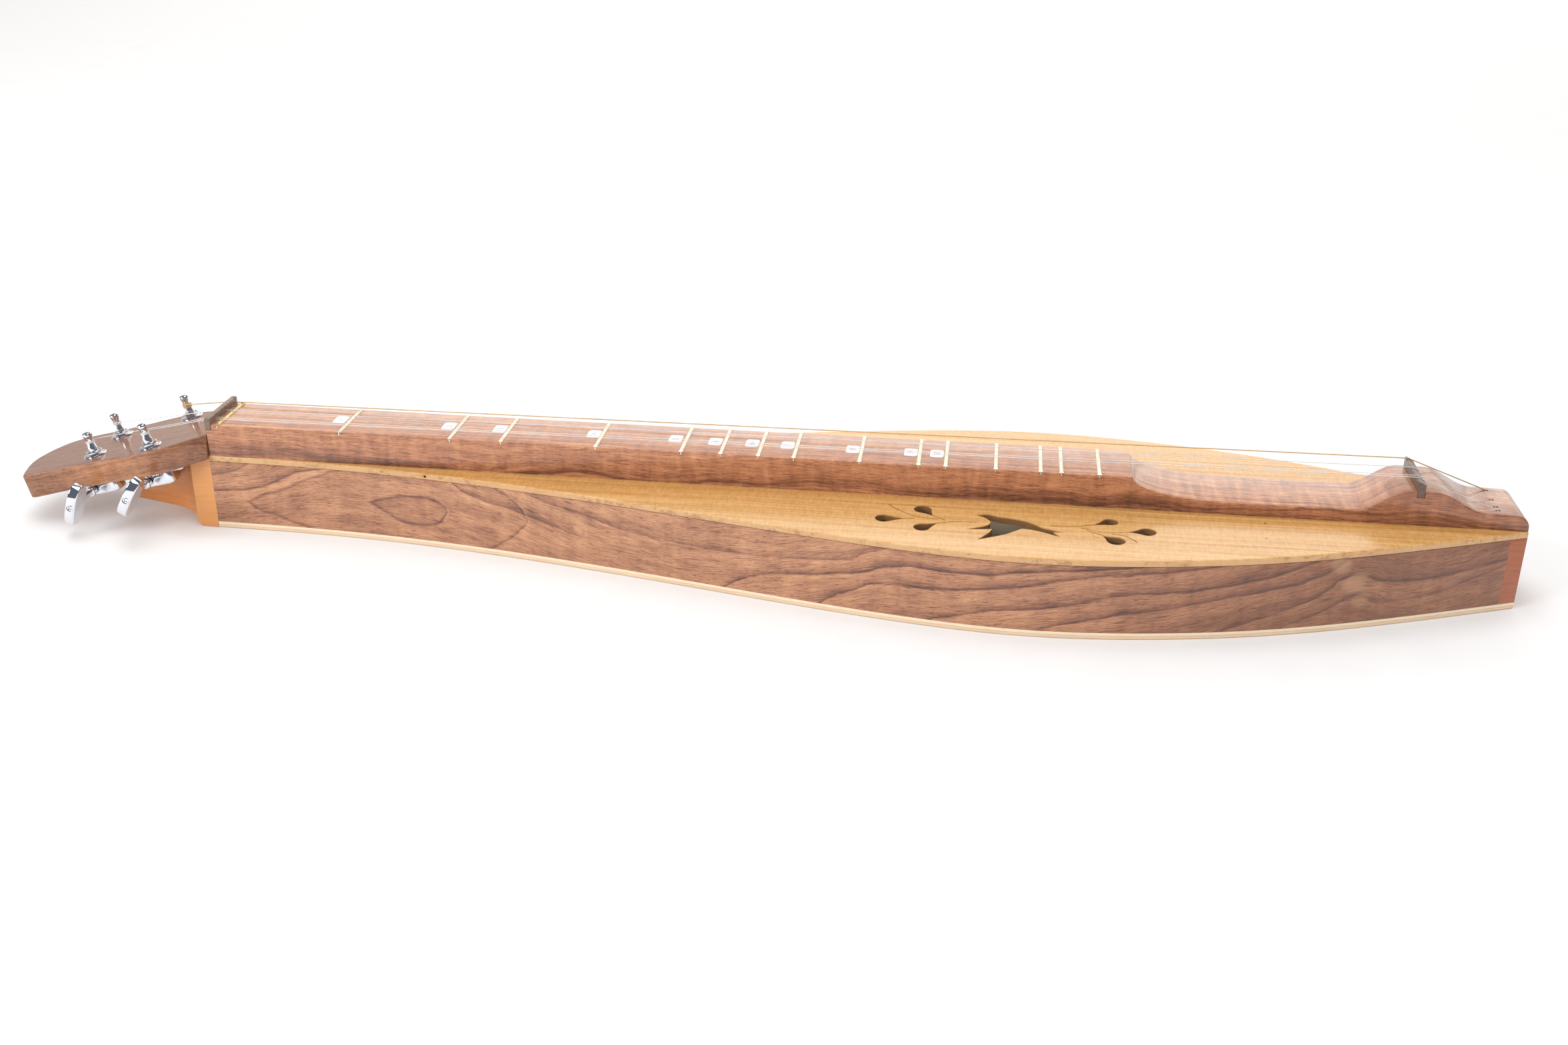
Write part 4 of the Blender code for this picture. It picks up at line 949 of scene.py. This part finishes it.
def string_holes():
    rods = []
    for _, _, _, _, tail_y, _, _ in STRINGS:
        top = (TAIL_HOLE_X - 3, tail_y, board_top(TAIL_HOLE_X) + 3 * string_dive())
        low = (TAIL_END_X + 3, tail_y, TAIL_EXIT_Z - 3 * string_dive())
        rods.append(rod("hole", top, low, STRING_HOLE_RADIUS, 16))
    return joined("string_holes", rods)


def ball_pockets():
    rods = []
    for _, _, _, _, tail_y, _, _ in STRINGS:
        ends = ((TAIL_END_X - BALL_POCKET[0], tail_y, TAIL_EXIT_Z), (TAIL_END_X + 3, tail_y, TAIL_EXIT_Z))
        rods.append(rod("pocket", *ends, BALL_POCKET[1], 24))
    return joined("ball_pockets", rods)


def make_soundboard():
    holes = soundholes() + [circle((x, y), radius, 12) for x, y, radius in PINHOLES]
    obj = slab("top_plate", body_outline(), TOP_LOW, TOP_Z, 0.7, holes)
    x, radius = EDGE_HOLE
    middle, edge = (TOP_LOW + TOP_Z) / 2 + 0.1, half_width(x)
    obj = combine(obj, rod("edge_hole", (x, -edge - 3, middle), (x, -edge + 4, middle), radius, 16))
    obj = combine(combine(obj, string_holes()), ball_pockets())
    show(smooth(obj), "top", replaced=["soundboard"])


def make_back():
    outline = body_outline()
    back = slab("back", outline, 0.0, BACK_THICKNESS, 0.6)
    show(back, "back", replaced=["back_plate"])
    veneer = slab("veneer", outline, BACK_THICKNESS - TOUCH, span("side_player")[2][0] + TOUCH, 0.12, steps=2)
    show(veneer, "maple", replaced=["back_veneer"])


def make_sides():
    low = span("side_player")[2][0] - TOUCH
    xs = stations(HEAD_END_X, SIDE_END_X)
    for node, side in (("side_player", -1), ("side_far", 1)):
        loop = [(x, side * half_width(x)) for x in xs]
        loop += [(x, side * inset_half_width(x, SIDE_THICKNESS)) for x in reversed(xs)]
        obj = slab(node + "_board", loop, low, TOP_LOW + TOUCH, 0.15, steps=2)
        show(obj, node, replaced=[node])


def underside_of_head(x):
    root = head_matrix() @ Vector((0, 0, -HEAD_THICKNESS * MM))
    return root.z / MM - (root.x / MM - x) * math.tan(HEAD_TILT)


def head_matrix():
    """Frame of the headstock's upper face: its -X runs to the tip, its +Z stands square to it."""
    post = Vector(JOINTS["post_turn_a"]["pos_m"])
    x = HEAD_ROOT_X * MM
    z = post.z + (x - post.x) * math.tan(HEAD_TILT)
    return Matrix.Translation((x, 0, z)) @ Matrix.Rotation(-HEAD_TILT, 4, "Y")


def make_head_block():
    """The block between the sides, and the slim coved heel that carries the headstock."""
    outer_x = HEAD_END_X
    end_x = HEEL_PLAN[-1][0]
    heel_top = [(outer_x - 0.1, underside_of_head(outer_x) - 0.1),
                (end_x + 4, underside_of_head(end_x + 4) - 0.1)]
    profile = [(HEAD_BLOCK_IN_X, TOP_LOW), (outer_x - 0.1, TOP_LOW)] + heel_top
    profile += catmull(HEEL_UNDERSIDE)[::-1]
    profile += [(outer_x - 0.3, 0), (outer_x - 0.3, 3.9), (HEAD_BLOCK_IN_X, 3.9)]
    side = slab("head_block_heel", profile, -25, 25, upright=True)
    upper = [(HEAD_BLOCK_IN_X + 5, BLOCK_HALF_WIDTH), (outer_x, BLOCK_HALF_WIDTH), (outer_x, 20.5)]
    upper += [(HEEL_PLAN[0][0] + 1.2, 20.5)] + catmull(HEEL_PLAN)
    upper.append((end_x - 5, HEEL_PLAN[-1][1]))
    plan = slab("plan", upper + [(x, -y) for x, y in reversed(upper)], -5, 60)
    obj = combine(side, plan, "INTERSECT")
    show(smooth(bevelled(obj, 0.5, 3)), "cherry", replaced=["head_block"])


def make_tail_block():
    xs = stations(SIDE_END_X, TAIL_END_X, 8)
    upper = [(TAIL_BLOCK_IN_X, BLOCK_HALF_WIDTH), (SIDE_END_X, BLOCK_HALF_WIDTH)]
    upper += [(x, half_width(x)) for x in xs]
    loop = upper + [(x, -y) for x, y in reversed(upper)]
    low = span("side_player")[2][0] - TOUCH
    obj = slab("tail_end_block", loop, low, TOP_LOW + TOUCH, 0.15, steps=2)
    obj = combine(combine(obj, string_holes()), ball_pockets())
    show(smooth(obj), "tail_cherry", replaced=["tail_block"])


# ---- fretboard -----------------------------------------------------------------------------------
def board_profile():
    """Upper edge of the fretboard from nut to tail: flat, strum hollow, saddle hump, tail shelf."""
    top, floor = BOARD_Z, BOARD_Z - STRUM_FLOOR_DEPTH
    shelf = BOARD_Z - TAIL_SHELF_DEPTH
    points = [(STRUM_START_X, top)]
    reach = STRUM_FLOOR_X[0] - STRUM_START_X
    for i in range(1, 25):
        turn = math.radians(90 * i / 24)
        points.append((STRUM_FLOOR_X[0] - reach * math.cos(turn), top - STRUM_FLOOR_DEPTH * math.sin(turn)))
    points += [(STRUM_FLOOR_X[0] + 18, floor - 0.15), (STRUM_FLOOR_X[0] + 37, floor - 0.2),
               (STRUM_FLOOR_X[1] - 16, floor - 0.12)]
    points += ease((STRUM_FLOOR_X[1], floor), (HUMP_X[0], top + HUMP_RISE), 24)
    points += ease((HUMP_X[1], top + HUMP_RISE), (TAIL_SHELF_X[0], shelf), 24)
    points.append((TAIL_SHELF_X[1], shelf - 0.6))
    for i in range(1, 11):
        turn = math.radians(9 * i)
        points.append((TAIL_END_X - TAIL_ROUND_RADIUS * (1 - math.sin(turn)),
                       shelf - 0.6 - TAIL_ROUND_RADIUS * (1 - math.cos(turn))))
    return points


def board_top(x):
    points = [(HEAD_END_X, BOARD_Z)] + board_profile()
    return float(np.interp(x, [p[0] for p in points], [p[1] for p in points]))


def make_fretboard():
    rebate, low = NUT_X[1], NUT_Z[0]
    profile = [(HEAD_END_X, TOP_Z), (HEAD_END_X, low), (rebate, low), (rebate, BOARD_Z)]
    profile += board_profile() + [(TAIL_END_X, TOP_Z)]
    obj = slab("fretboard_beam", profile, -BOARD_HALF_WIDTH, BOARD_HALF_WIDTH, BOARD_EDGE, upright=True,
               sill=TOP_Z)
    x0, x1, half, roof = CHANNEL
    cuts = [block("channel", (x0, x1), (-half, half), (TOP_Z - 5, roof))]
    across = (-BOARD_HALF_WIDTH - 5, BOARD_HALF_WIDTH + 5)
    for x in [ZERO_FRET_X] + [fret_x(semitones) for _, semitones in FRETS]:
        cuts.append(block("slot", (x - FRET_SLOT[0] / 2, x + FRET_SLOT[0] / 2), across,
                          (BOARD_Z - FRET_SLOT[1], BOARD_Z + 5)))
    cuts.append(block("slot", (SADDLE_SPAN[0][0] - 0.1, SADDLE_SPAN[0][1] + 0.1), across,
                      (SADDLE_SPAN[2][0], BOARD_Z + 5)))
    obj = combine(obj, joined("cuts", cuts))
    obj = combine(obj, string_holes())
    show(smooth(obj), "board", replaced=["fretboard"])


def make_fret(name, x, crown, look, node):
    """A fret: a rounded crown with bevelled ends over a thin tang."""
    half, depth = FRET_TANG[0] / 2, FRET_TANG[1]
    base, reach = BOARD_Z, BOARD_HALF_WIDTH - 0.05
    low, high = base - depth, base + 0.1
    loop = [(x - half, low), (x + half, low), (x + half, high), (x - half, high)]
    tang = slab("tang", loop, -reach, reach, upright=True)
    loop = [(x + crown[0] / 2 * math.cos(turn), base + crown[1] * math.sin(turn))
            for turn in (math.radians(180 * i / 14) for i in range(15))]
    top = slab("crown", loop, -reach, reach, upright=True)
    for vert in top.data.vertices:
        rise = vert.co.z / MM - base
        vert.co.y -= math.copysign(FRET_BEVEL[0] + rise * FRET_BEVEL[1], vert.co.y) * MM
    show(smooth(joined(name, [tang, top])), look, replaced=[node])


def make_frets():
    for number, semitones in FRETS:
        make_fret("fret_wire_" + number, fret_x(semitones), FRET_CROWN, "frets",
                  "fret_" + number)
    make_fret("zero_fret_wire", ZERO_FRET_X, ZERO_FRET_CROWN, "brass", "zero_fret")


def string_slots(x, floors, depth=8.0):
    """Round-bottomed cutters across a nut or saddle; floors gives y, radius and floor height."""
    cutters = []
    for y, radius, floor in floors:
        loop = arc((y, floor + radius), radius, 180, 360, 8)
        loop += [(y + radius, floor + depth), (y - radius, floor + depth)]
        cutters.append(slab("slot", loop, x[0] - 5, x[1] + 5))
    turn = Matrix(((0, 0, 1, 0), (1, 0, 0, 0), (0, 1, 0, 0), (0, 0, 0, 1)))
    for cutter in cutters:
        cutter.matrix_world = turn
    return joined("string_slots", cutters)


def make_nut():
    low, high = NUT_Z
    x0, x1 = NUT_X
    profile = [(x0, low), (x1, low)] + arc((x1 - 0.5, high - 0.5), 0.5, 0, 90)
    profile += arc((x0 + 0.9, high - 0.9), 0.9, 90, 180)
    obj = slab("nut_bar", profile, -BOARD_HALF_WIDTH, BOARD_HALF_WIDTH, 0.35, upright=True)
    floors = [(values[2], values[1] + 0.01, BOARD_Z + NUT_STRING_Z - 0.05) for values in STRINGS]
    obj = combine(obj, string_slots(NUT_X, floors))
    show(smooth(obj), "nut", replaced=["nut"])


def make_saddle():
    (front, rear), _, (low, top) = SADDLE_SPAN
    fall = (top - board_top(TAIL_HOLE_X)) / (TAIL_HOLE_X - SADDLE_X) * (rear - SADDLE_X) + 0.3
    profile = [(front, low), (rear, low), (rear, top - fall), (SADDLE_X + 0.5, top - 0.08), (SADDLE_X, top),
               (SADDLE_X - 0.4, top - 0.1), (front, top - 0.4)]
    obj = slab("saddle_bar", profile, -BOARD_HALF_WIDTH + 0.3, BOARD_HALF_WIDTH - 0.3, 0.25, upright=True)
    show(smooth(obj), "saddle", replaced=["saddle"])


def make_stickers():
    """White fret markers with generic numbers, stuck on the nut side of the frets."""
    places = dict(FRETS)
    for number, digits, aside, y in STICKERS:
        x = fret_x(places[number]) + aside
        shape = rounded_rectangle(STICKER_SIZE[0] / 2, STICKER_SIZE[1] / 2, STICKER_CORNER, (x, y))
        sticker = slab("fret_marker_" + number, shape, BOARD_Z, BOARD_Z + STICKER_THICKNESS, 0.04, steps=2)
        show(sticker, "vinyl")
        text = bpy.data.curves.new("digits", "FONT")
        text.body = digits
        text.size = DIGIT_SIZE * MM
        text.extrude = 0.02 * MM
        text.align_x = "CENTER"
        text.align_y = "CENTER"
        obj = linked("marker_number_" + number, text)
        obj.matrix_world = (Matrix.Translation(Vector((x, y, BOARD_Z + STICKER_THICKNESS + 0.01)) * MM)
                            @ Matrix.Rotation(math.radians(90), 4, "Z"))
        show(smooth(bake(obj)), "ink")


# ---- head ----------------------------------------------------------------------------------------
def make_headstock():
    width = natural_spline(HEAD_HALF_WIDTHS)
    near = [(s, -width(s)) for s in stations(0, HEAD_HALF_WIDTHS[-1][0], 60)]
    far = [(s, width(s)) for s in stations(0, 103, 50)]
    loop = [(-8.0, -BOARD_HALF_WIDTH)] + near + catmull(HEAD_TIP) + far[::-1] + [(-8.0, BOARD_HALF_WIDTH)]
    outline = [(-s, y) for s, y in loop]
    obj = slab("head_plate", outline, -HEAD_THICKNESS, 0, HEAD_EDGE, matrix=head_matrix())
    obj = combine(obj, block("nut_end", (HEAD_END_X - 0.05, HEAD_END_X + 40), (-60, 60), (20, 90)))
    bores = []
    for tag in BUTTON_ANGLES:
        post = Vector(JOINTS["post_turn_" + tag]["pos_m"]) / MM
        bores.append(rod("bore", post - HEAD_NORMAL * 25, post + HEAD_NORMAL * 5, POST_BORE, 32))
    obj = combine(obj, joined("bores", bores))
    show(smooth(obj), "head", replaced=["headstock"])


def tuner_frame(joint):
    """Head frame moved to a joint of a tuner."""
    place = Matrix.Translation(JOINTS[joint]["pos_m"])
    return place @ Matrix.Rotation(-HEAD_TILT, 4, "Y")


def make_bushing(tag):
    """A washer and sleeve of one piece, and the hex nut on them."""
    outer, thick = WASHER
    bore, radius, foot = SLEEVE
    matrix = tuner_frame("post_turn_" + tag)
    top = 0.05 + thick
    washer = [(bore, top), (outer - 1.4, top), (outer - 0.5, top - 0.12), (outer - 0.12, top - 0.35),
              (outer, top - 0.6), (outer - 0.1, 0.05), (radius, 0.05), (radius, foot), (bore, foot)]
    obj = turned("tuner_washer_" + tag, washer, 64, closed=True, matrix=matrix)
    show(obj, "chrome", replaced=["tuner_bushing_" + tag])
    across, height = HEX_NUT
    turns = [math.tau * i / 6 + 0.4 for i in range(6)]
    corners = [(across * math.cos(turn), across * math.sin(turn)) for turn in turns]
    nut = slab("hex_nut_" + tag, corners, top - 0.05, top + height, matrix=matrix)
    dome = [(3.45, top + height + 0.3), (4.0, top + height + 0.02), (4.55, top + height - 0.05),
            (5.3, top + height - 0.55), (5.6, top - 1), (3.45, top - 1)]
    nut = combine(nut, turned("dome", dome, 64, closed=True, matrix=matrix), "INTERSECT")
    show(smooth(bevelled(nut, 0.12, 2), 25), "chrome")


def make_post(tag):
    """A turned string post with its toothed wheel."""
    matrix = tuner_frame("post_turn_" + tag)
    foot = -HEAD_THICKNESS + POST_FOOT
    profile = [(0, 15.7)] + catmull(POST_PROFILE, 5) + [(3.05, -13.0), (2.0, -13.8), (2.0, foot), (0, foot)]
    obj = turned("string_post_" + tag, profile, 48, matrix=matrix)
    loop = []
    for i in range(4 * GEAR_TEETH):
        radius = GEAR_RADII[i % 4 in (1, 2)]
        turn = math.tau * (i + 0.5) / (4 * GEAR_TEETH)
        loop.append((radius * math.cos(turn), radius * math.sin(turn)))
    middle = -HEAD_THICKNESS - GEAR_DROP
    obj = combine(obj, slab("gear", loop, middle - 2, middle + 2, 0.15, steps=2, matrix=matrix), "UNION")
    through = matrix @ Matrix.Translation((0, 0, (WINDING_HEIGHT + 1.2) * MM))
    hole = turned("string_hole", [(0, 5), (0.65, 5), (0.65, -5), (0, -5)], 16,
                  matrix=through @ Matrix.Rotation(math.pi / 2, 4, "X"))
    obj = combine(obj, hole)
    show(smooth(obj, 35), "chrome", "post_" + tag, ["tuner_post_" + tag])


def make_housing(tag):
    """A bright cast cup under the headstock, with its screw lug towards the nut."""
    half_length, half, depth, wall, corner = HOUSING
    post = Vector(JOINTS["post_turn_" + tag]["pos_m"])
    side = math.copysign(1, post.y)
    matrix = tuner_frame("post_turn_" + tag)
    top = -HEAD_THICKNESS - 0.05
    cup = slab("gear_cup_" + tag, rounded_rectangle(half_length, half, corner), top - depth, top, 1.2,
               matrix=matrix)
    reach, lug_half, thick = LUG
    lug_x = half_length + reach - lug_half
    lug = [(half_length - 2, -lug_half)] + arc((lug_x, 0), lug_half, -90, 90, 12)
    lug.append((half_length - 2, lug_half))
    cup = combine(cup, slab("lug", lug, top - thick, top, 0.4, matrix=matrix), "UNION")
    inside = rounded_rectangle(half_length - wall, half - wall, corner - wall)
    cup = combine(cup, slab("inside", inside, top - depth + wall, top + 5, matrix=matrix))
    worm = Vector(JOINTS["knob_turn_" + tag]["pos_m"]) / MM
    bore = rod("bore", worm, worm + Vector((0, side * 14, 0)), 2.3)
    cup = combine(cup, bore)
    show(smooth(cup), "chrome", replaced=["tuner_housing_" + tag])
    screw_matrix = matrix @ Matrix.Translation((lug_x * MM, 0, (top - thick + 0.3) * MM)) @ \
        Matrix.Rotation(math.pi, 4, "X")
    make_screw("mounting_screw_" + tag, screw_matrix, 2.6, 1.1, 0.5, "root")


def make_screw(name, matrix, radius, height, turn, body):
    """A domed Phillips screw head on its matrix's +Z."""
    dome = [(0, height)] + [(radius * math.sin(a), height * 0.35 + height * 0.65 * math.cos(a))
                            for a in (math.radians(12 * i) for i in range(1, 8))]
    dome += [(radius, height * 0.3), (radius, -1.3), (0, -1.3)]
    obj = turned(name, dome, 40, matrix=matrix)
    long, thin, deep = radius * 0.64, radius * 0.16, height - 1.6
    arms = [(long, thin), (thin, thin), (thin, long), (-thin, long), (-thin, thin), (-long, thin),
            (-long, -thin), (-thin, -thin), (-thin, -long), (thin, -long), (thin, -thin), (long, -thin)]
    cross = slab("cross", arms, deep, height + 1, matrix=matrix @ Matrix.Rotation(turn, 4, "Z"))
    show(smooth(combine(obj, cross), 35), "chrome", body)


def make_knob(tag):
    """Worm shaft, paddle button and its end screw, along the shaft's axis."""
    joint = JOINTS["knob_turn_" + tag]
    side = math.copysign(1, Vector(joint["pos_m"]).y)
    axis = tuner_frame("knob_turn_" + tag) @ Matrix.Rotation(-side * math.pi / 2, 4, "X")
    half_length, half_depth, thick = BUTTON
    neck = BUTTON_CENTRE - half_depth + 1.0
    profile = [(0, neck + 2), (1.5, neck + 2), (1.5, neck), (2.5, neck), (2.7, neck - 0.4), (2.5, neck - 2.2),
               (1.9, neck - 3), (1.7, neck - 4), (1.7, 11.6), (2.0, 11.4), (3.0, 11.2), (3.2, 10.8),
               (3.2, 8.9), (3.0, 8.5), (2.1, 8.3), (1.7, 7.8), (1.7, 4.2), (1.9, 4.0), (1.9, -4.0),
               (1.3, -4.2), (1.3, -4.8), (0, -4.8)]
    body = "knob_" + tag
    shaft = turned("knob_shaft_" + tag, profile, 32, matrix=axis)
    show(shaft, "chrome", body, ["worm_shaft_" + tag])
    loop = []
    count = 96
    for i in range(count):            # an oval with a flatter outer edge
        u, v = math.cos(math.tau * i / count), math.sin(math.tau * i / count)
        loop.append((half_length * math.copysign(abs(u) ** 0.8, u),
                     half_depth * math.copysign(abs(v) ** 0.75, v)))
    angle = math.radians(BUTTON_ANGLES[tag])
    place = axis @ Matrix.Translation((0, 0, BUTTON_CENTRE * MM)) @ Matrix.Rotation(angle, 4, "Z") \
        @ Matrix.Rotation(math.pi / 2, 4, "X")
    button = slab("knob_button_" + tag, loop, -thick / 2, thick / 2, 0.8, matrix=place)
    seat = BUTTON_CENTRE + half_depth
    bore = turned("seat", [(0, 3), (BUTTON_SCREW + 0.12, 3), (BUTTON_SCREW + 0.12, -0.75), (0, -0.75)], 40,
                  matrix=axis @ Matrix.Translation((0, 0, seat * MM)))
    button = combine(button, bore)
    show(smooth(button), "chrome", body, ["tuner_button_" + tag])
    make_screw("knob_screw_" + tag, axis @ Matrix.Translation((0, 0, (seat - 0.75) * MM)), BUTTON_SCREW, 0.72,
               0.5, body)


# ---- strings -------------------------------------------------------------------------------------
def make_strings():
    for node, radius, nut_y, saddle_y, tail_y, tag, side in STRINGS:
        matrix = tuner_frame("post_turn_" + tag)
        centre = WINDING_RADIUS + radius
        look, slot = ("bronze", "bronze") if tag == "d" else ("steel", "steel")
        leave = matrix @ Vector((0, side * centre * MM, WINDING_HEIGHT * MM)) / MM
        nut = Vector((NUT_X[0] + 0.5, nut_y, BOARD_Z + NUT_STRING_Z + radius - 0.1))
        points = [leave, nut, (NUT_X[1], nut_y, BOARD_Z + NUT_STRING_Z + radius - 0.05),
                  (ZERO_FRET_X, nut_y, BOARD_Z + ZERO_FRET_CROWN[1] + radius),
                  (SADDLE_X - 0.8, saddle_y, BOARD_Z + SADDLE_TOP + radius - 0.02),
                  (SADDLE_X, saddle_y, BOARD_Z + SADDLE_TOP + radius + 0.02),
                  (TAIL_HOLE_X - 0.6, tail_y, board_top(TAIL_HOLE_X) + 0.4),
                  (TAIL_END_X - 0.4, tail_y, TAIL_EXIT_Z + 0.4 * string_dive())]
        wire = tube(node + "_wire", points, radius)
        ball = turned("ball", [(0, 1.6), (1.3, 1.6), (1.9, 1.1), (1.55, 0.4), (1.55, -0.4), (1.9, -1.1),
                               (1.3, -1.6), (0, -1.6)], 32,
                      matrix=Matrix.Translation(Vector((TAIL_END_X - 0.4 - 1.6, tail_y, TAIL_EXIT_Z)) * MM)
                      @ Matrix.Rotation(math.pi / 2, 4, "X"))
        wire = combine(wire, ball, "UNION")
        show(smooth(wire, 50), look, replaced=[node])
        pitch = radius * 2.15
        coil = []
        for i in range(int(COIL_TURNS * COIL_STEPS) + 1):
            turn = i / COIL_STEPS
            angle = side * (math.pi / 2 + math.tau * turn)
            coil.append(matrix @ Vector((centre * math.cos(angle) * MM, centre * math.sin(angle) * MM,
                                         (WINDING_HEIGHT - pitch * turn) * MM)) / MM)
        show(tube(node + "_winding", coil, radius), look, "post_" + tag)


def build():
    make_soundboard()
    make_back()
    make_sides()
    make_head_block()
    make_tail_block()
    make_fretboard()
    make_frets()
    make_nut()
    make_saddle()
    make_stickers()
    make_headstock()
    for tag in BUTTON_ANGLES:
        make_bushing(tag)
        make_post(tag)
        make_housing(tag)
        make_knob(tag)
    make_strings()
    for node in frame["nodes"]:
        if node.startswith(("lining_", "back_brace_")):
            keep(node, "spruce")
    keep("paper_label", "paper")


# ---- stage, light and camera ---------------------------------------------------------------------
FLOOR_HALF_SIZE = 9.0                 # metres, as the other sizes of the studio
FLOOR_Z = -0.0002
EVEN_LIGHT = (0.665, 0.665, 0.665, 1.0)
DARK_ROOM = (0.13, 0.145, 0.18, 1.0)
PALE_WALL = (0.80, 0.77, 0.72, 1.0)
WHITE = (1.0, 1.0, 1.0, 1.0)
CAMERA_PLACE = (0.08342, -0.94563, 0.45571)
CAMERA_TURN = (7.196, 24.692, 0.427)  # azimuth, elevation and roll in degrees
CAMERA_LENS = 38.67                   # millimetres, on a sensor 36 mm wide


def make_floor():
    bm = bmesh.new()
    bmesh.ops.create_grid(bm, x_segments=1, y_segments=1, size=FLOOR_HALF_SIZE)
    bmesh.ops.translate(bm, verts=bm.verts, vec=(0, 0, FLOOR_Z))
    floor = new_object("floor", bm)
    g = Graph("floor_paper", Roughness=0.9)
    fibres = g.noise(g.over(g.x, 30.0), g.over(g.y, 30.0), 0.0, 2.0)
    g.finish(g.ramp(fibres, ((0.2, (250, 250, 250)), (0.8, (247, 247, 247)))))
    floor.data.materials.append(g.material)


def area_light(name, place, size, power, colour=(1, 1, 1)):
    """A softbox that faces the middle of the instrument's base."""
    light = bpy.data.lights.new(name, "AREA")
    light.shape = "RECTANGLE"
    light.size, light.size_y = size
    light.energy = power
    light.color = colour
    place = Vector(place)
    aim = (-place).to_track_quat("-Z", "Y").to_matrix().to_4x4()
    linked(name, light).matrix_world = Matrix.Translation(place) @ aim


def make_world():
    """Even light all round; what bright surfaces mirror is a dark room with a pale wall behind."""
    world = bpy.data.worlds.new("studio")
    bpy.context.scene.world = world
    world.use_nodes = True
    nodes, links = world.node_tree.nodes, world.node_tree.links
    path = nodes.new("ShaderNodeLightPath")
    direction = nodes.new("ShaderNodeSeparateXYZ")
    links.new(nodes.new("ShaderNodeTexCoord").outputs["Generated"], direction.inputs[0])

    def step(value, low, high, start, end):
        new = nodes.new("ShaderNodeMapRange")
        new.interpolation_type = "SMOOTHSTEP"
        links.new(value, new.inputs[0])
        for i, number in enumerate((low, high, start, end)):
            new.inputs[i + 1].default_value = number
        return new.outputs[0]

    def mixed(factor, a, b):
        new = nodes.new("ShaderNodeMix")
        new.data_type = "RGBA"
        links.new(factor, new.inputs[0])
        for socket, value in ((new.inputs[6], a), (new.inputs[7], b)):
            if isinstance(value, tuple):
                socket.default_value = value
            else:
                links.new(value, socket)
        return new.outputs[2]

    def both(a, b):
        new = nodes.new("ShaderNodeMath")
        new.operation = "MULTIPLY"
        links.new(a, new.inputs[0])
        links.new(b, new.inputs[1])
        return new.outputs[0]

    behind = step(direction.outputs[1], 0.05, 0.6, 0.0, 1.0)
    low = step(direction.outputs[2], 0.35, 0.7, 1.0, 0.0)
    rightward = step(direction.outputs[0], -0.72, -0.42, 0.25, 1.0)
    room = mixed(both(both(behind, low), rightward), DARK_ROOM, PALE_WALL)
    seen = mixed(path.outputs["Is Glossy Ray"], EVEN_LIGHT, room)
    seen = mixed(path.outputs["Is Camera Ray"], seen, WHITE)
    links.new(seen, nodes["Background"].inputs[0])


def make_light():
    make_world()
    area_light("back_softbox", (0.1, 3.0, 1.5), (4.6, 2.4), 32, (1.0, 0.955, 0.9))
    area_light("top_softbox", (-0.2, -0.15, 2.2), (2.2, 1.2), 20)
    area_light("front_left_softbox", (-2.2, -1.6, 1.3), (1.4, 1.2), 33)
    bpy.context.scene.view_settings.view_transform = "Standard"


def make_camera():
    azimuth, elevation, roll = (math.radians(angle) for angle in CAMERA_TURN)
    back = Vector((math.sin(azimuth) * math.cos(elevation), -math.cos(azimuth) * math.cos(elevation),
                   math.sin(elevation)))
    right = (-back).cross(Vector((0, 0, 1))).normalized()
    up = back.cross(right)
    c, s = math.cos(roll), math.sin(roll)
    x_axis, y_axis = c * right + s * up, -s * right + c * up
    data = bpy.data.cameras.new("camera")
    data.lens = CAMERA_LENS
    data.sensor_width = 36.0
    camera = linked("camera", data)
    turn = Matrix((x_axis, y_axis, back)).transposed().to_4x4()
    camera.matrix_world = Matrix.Translation(CAMERA_PLACE) @ turn
    bpy.context.scene.camera = camera


make_camera()
build()
make_floor()
make_light()
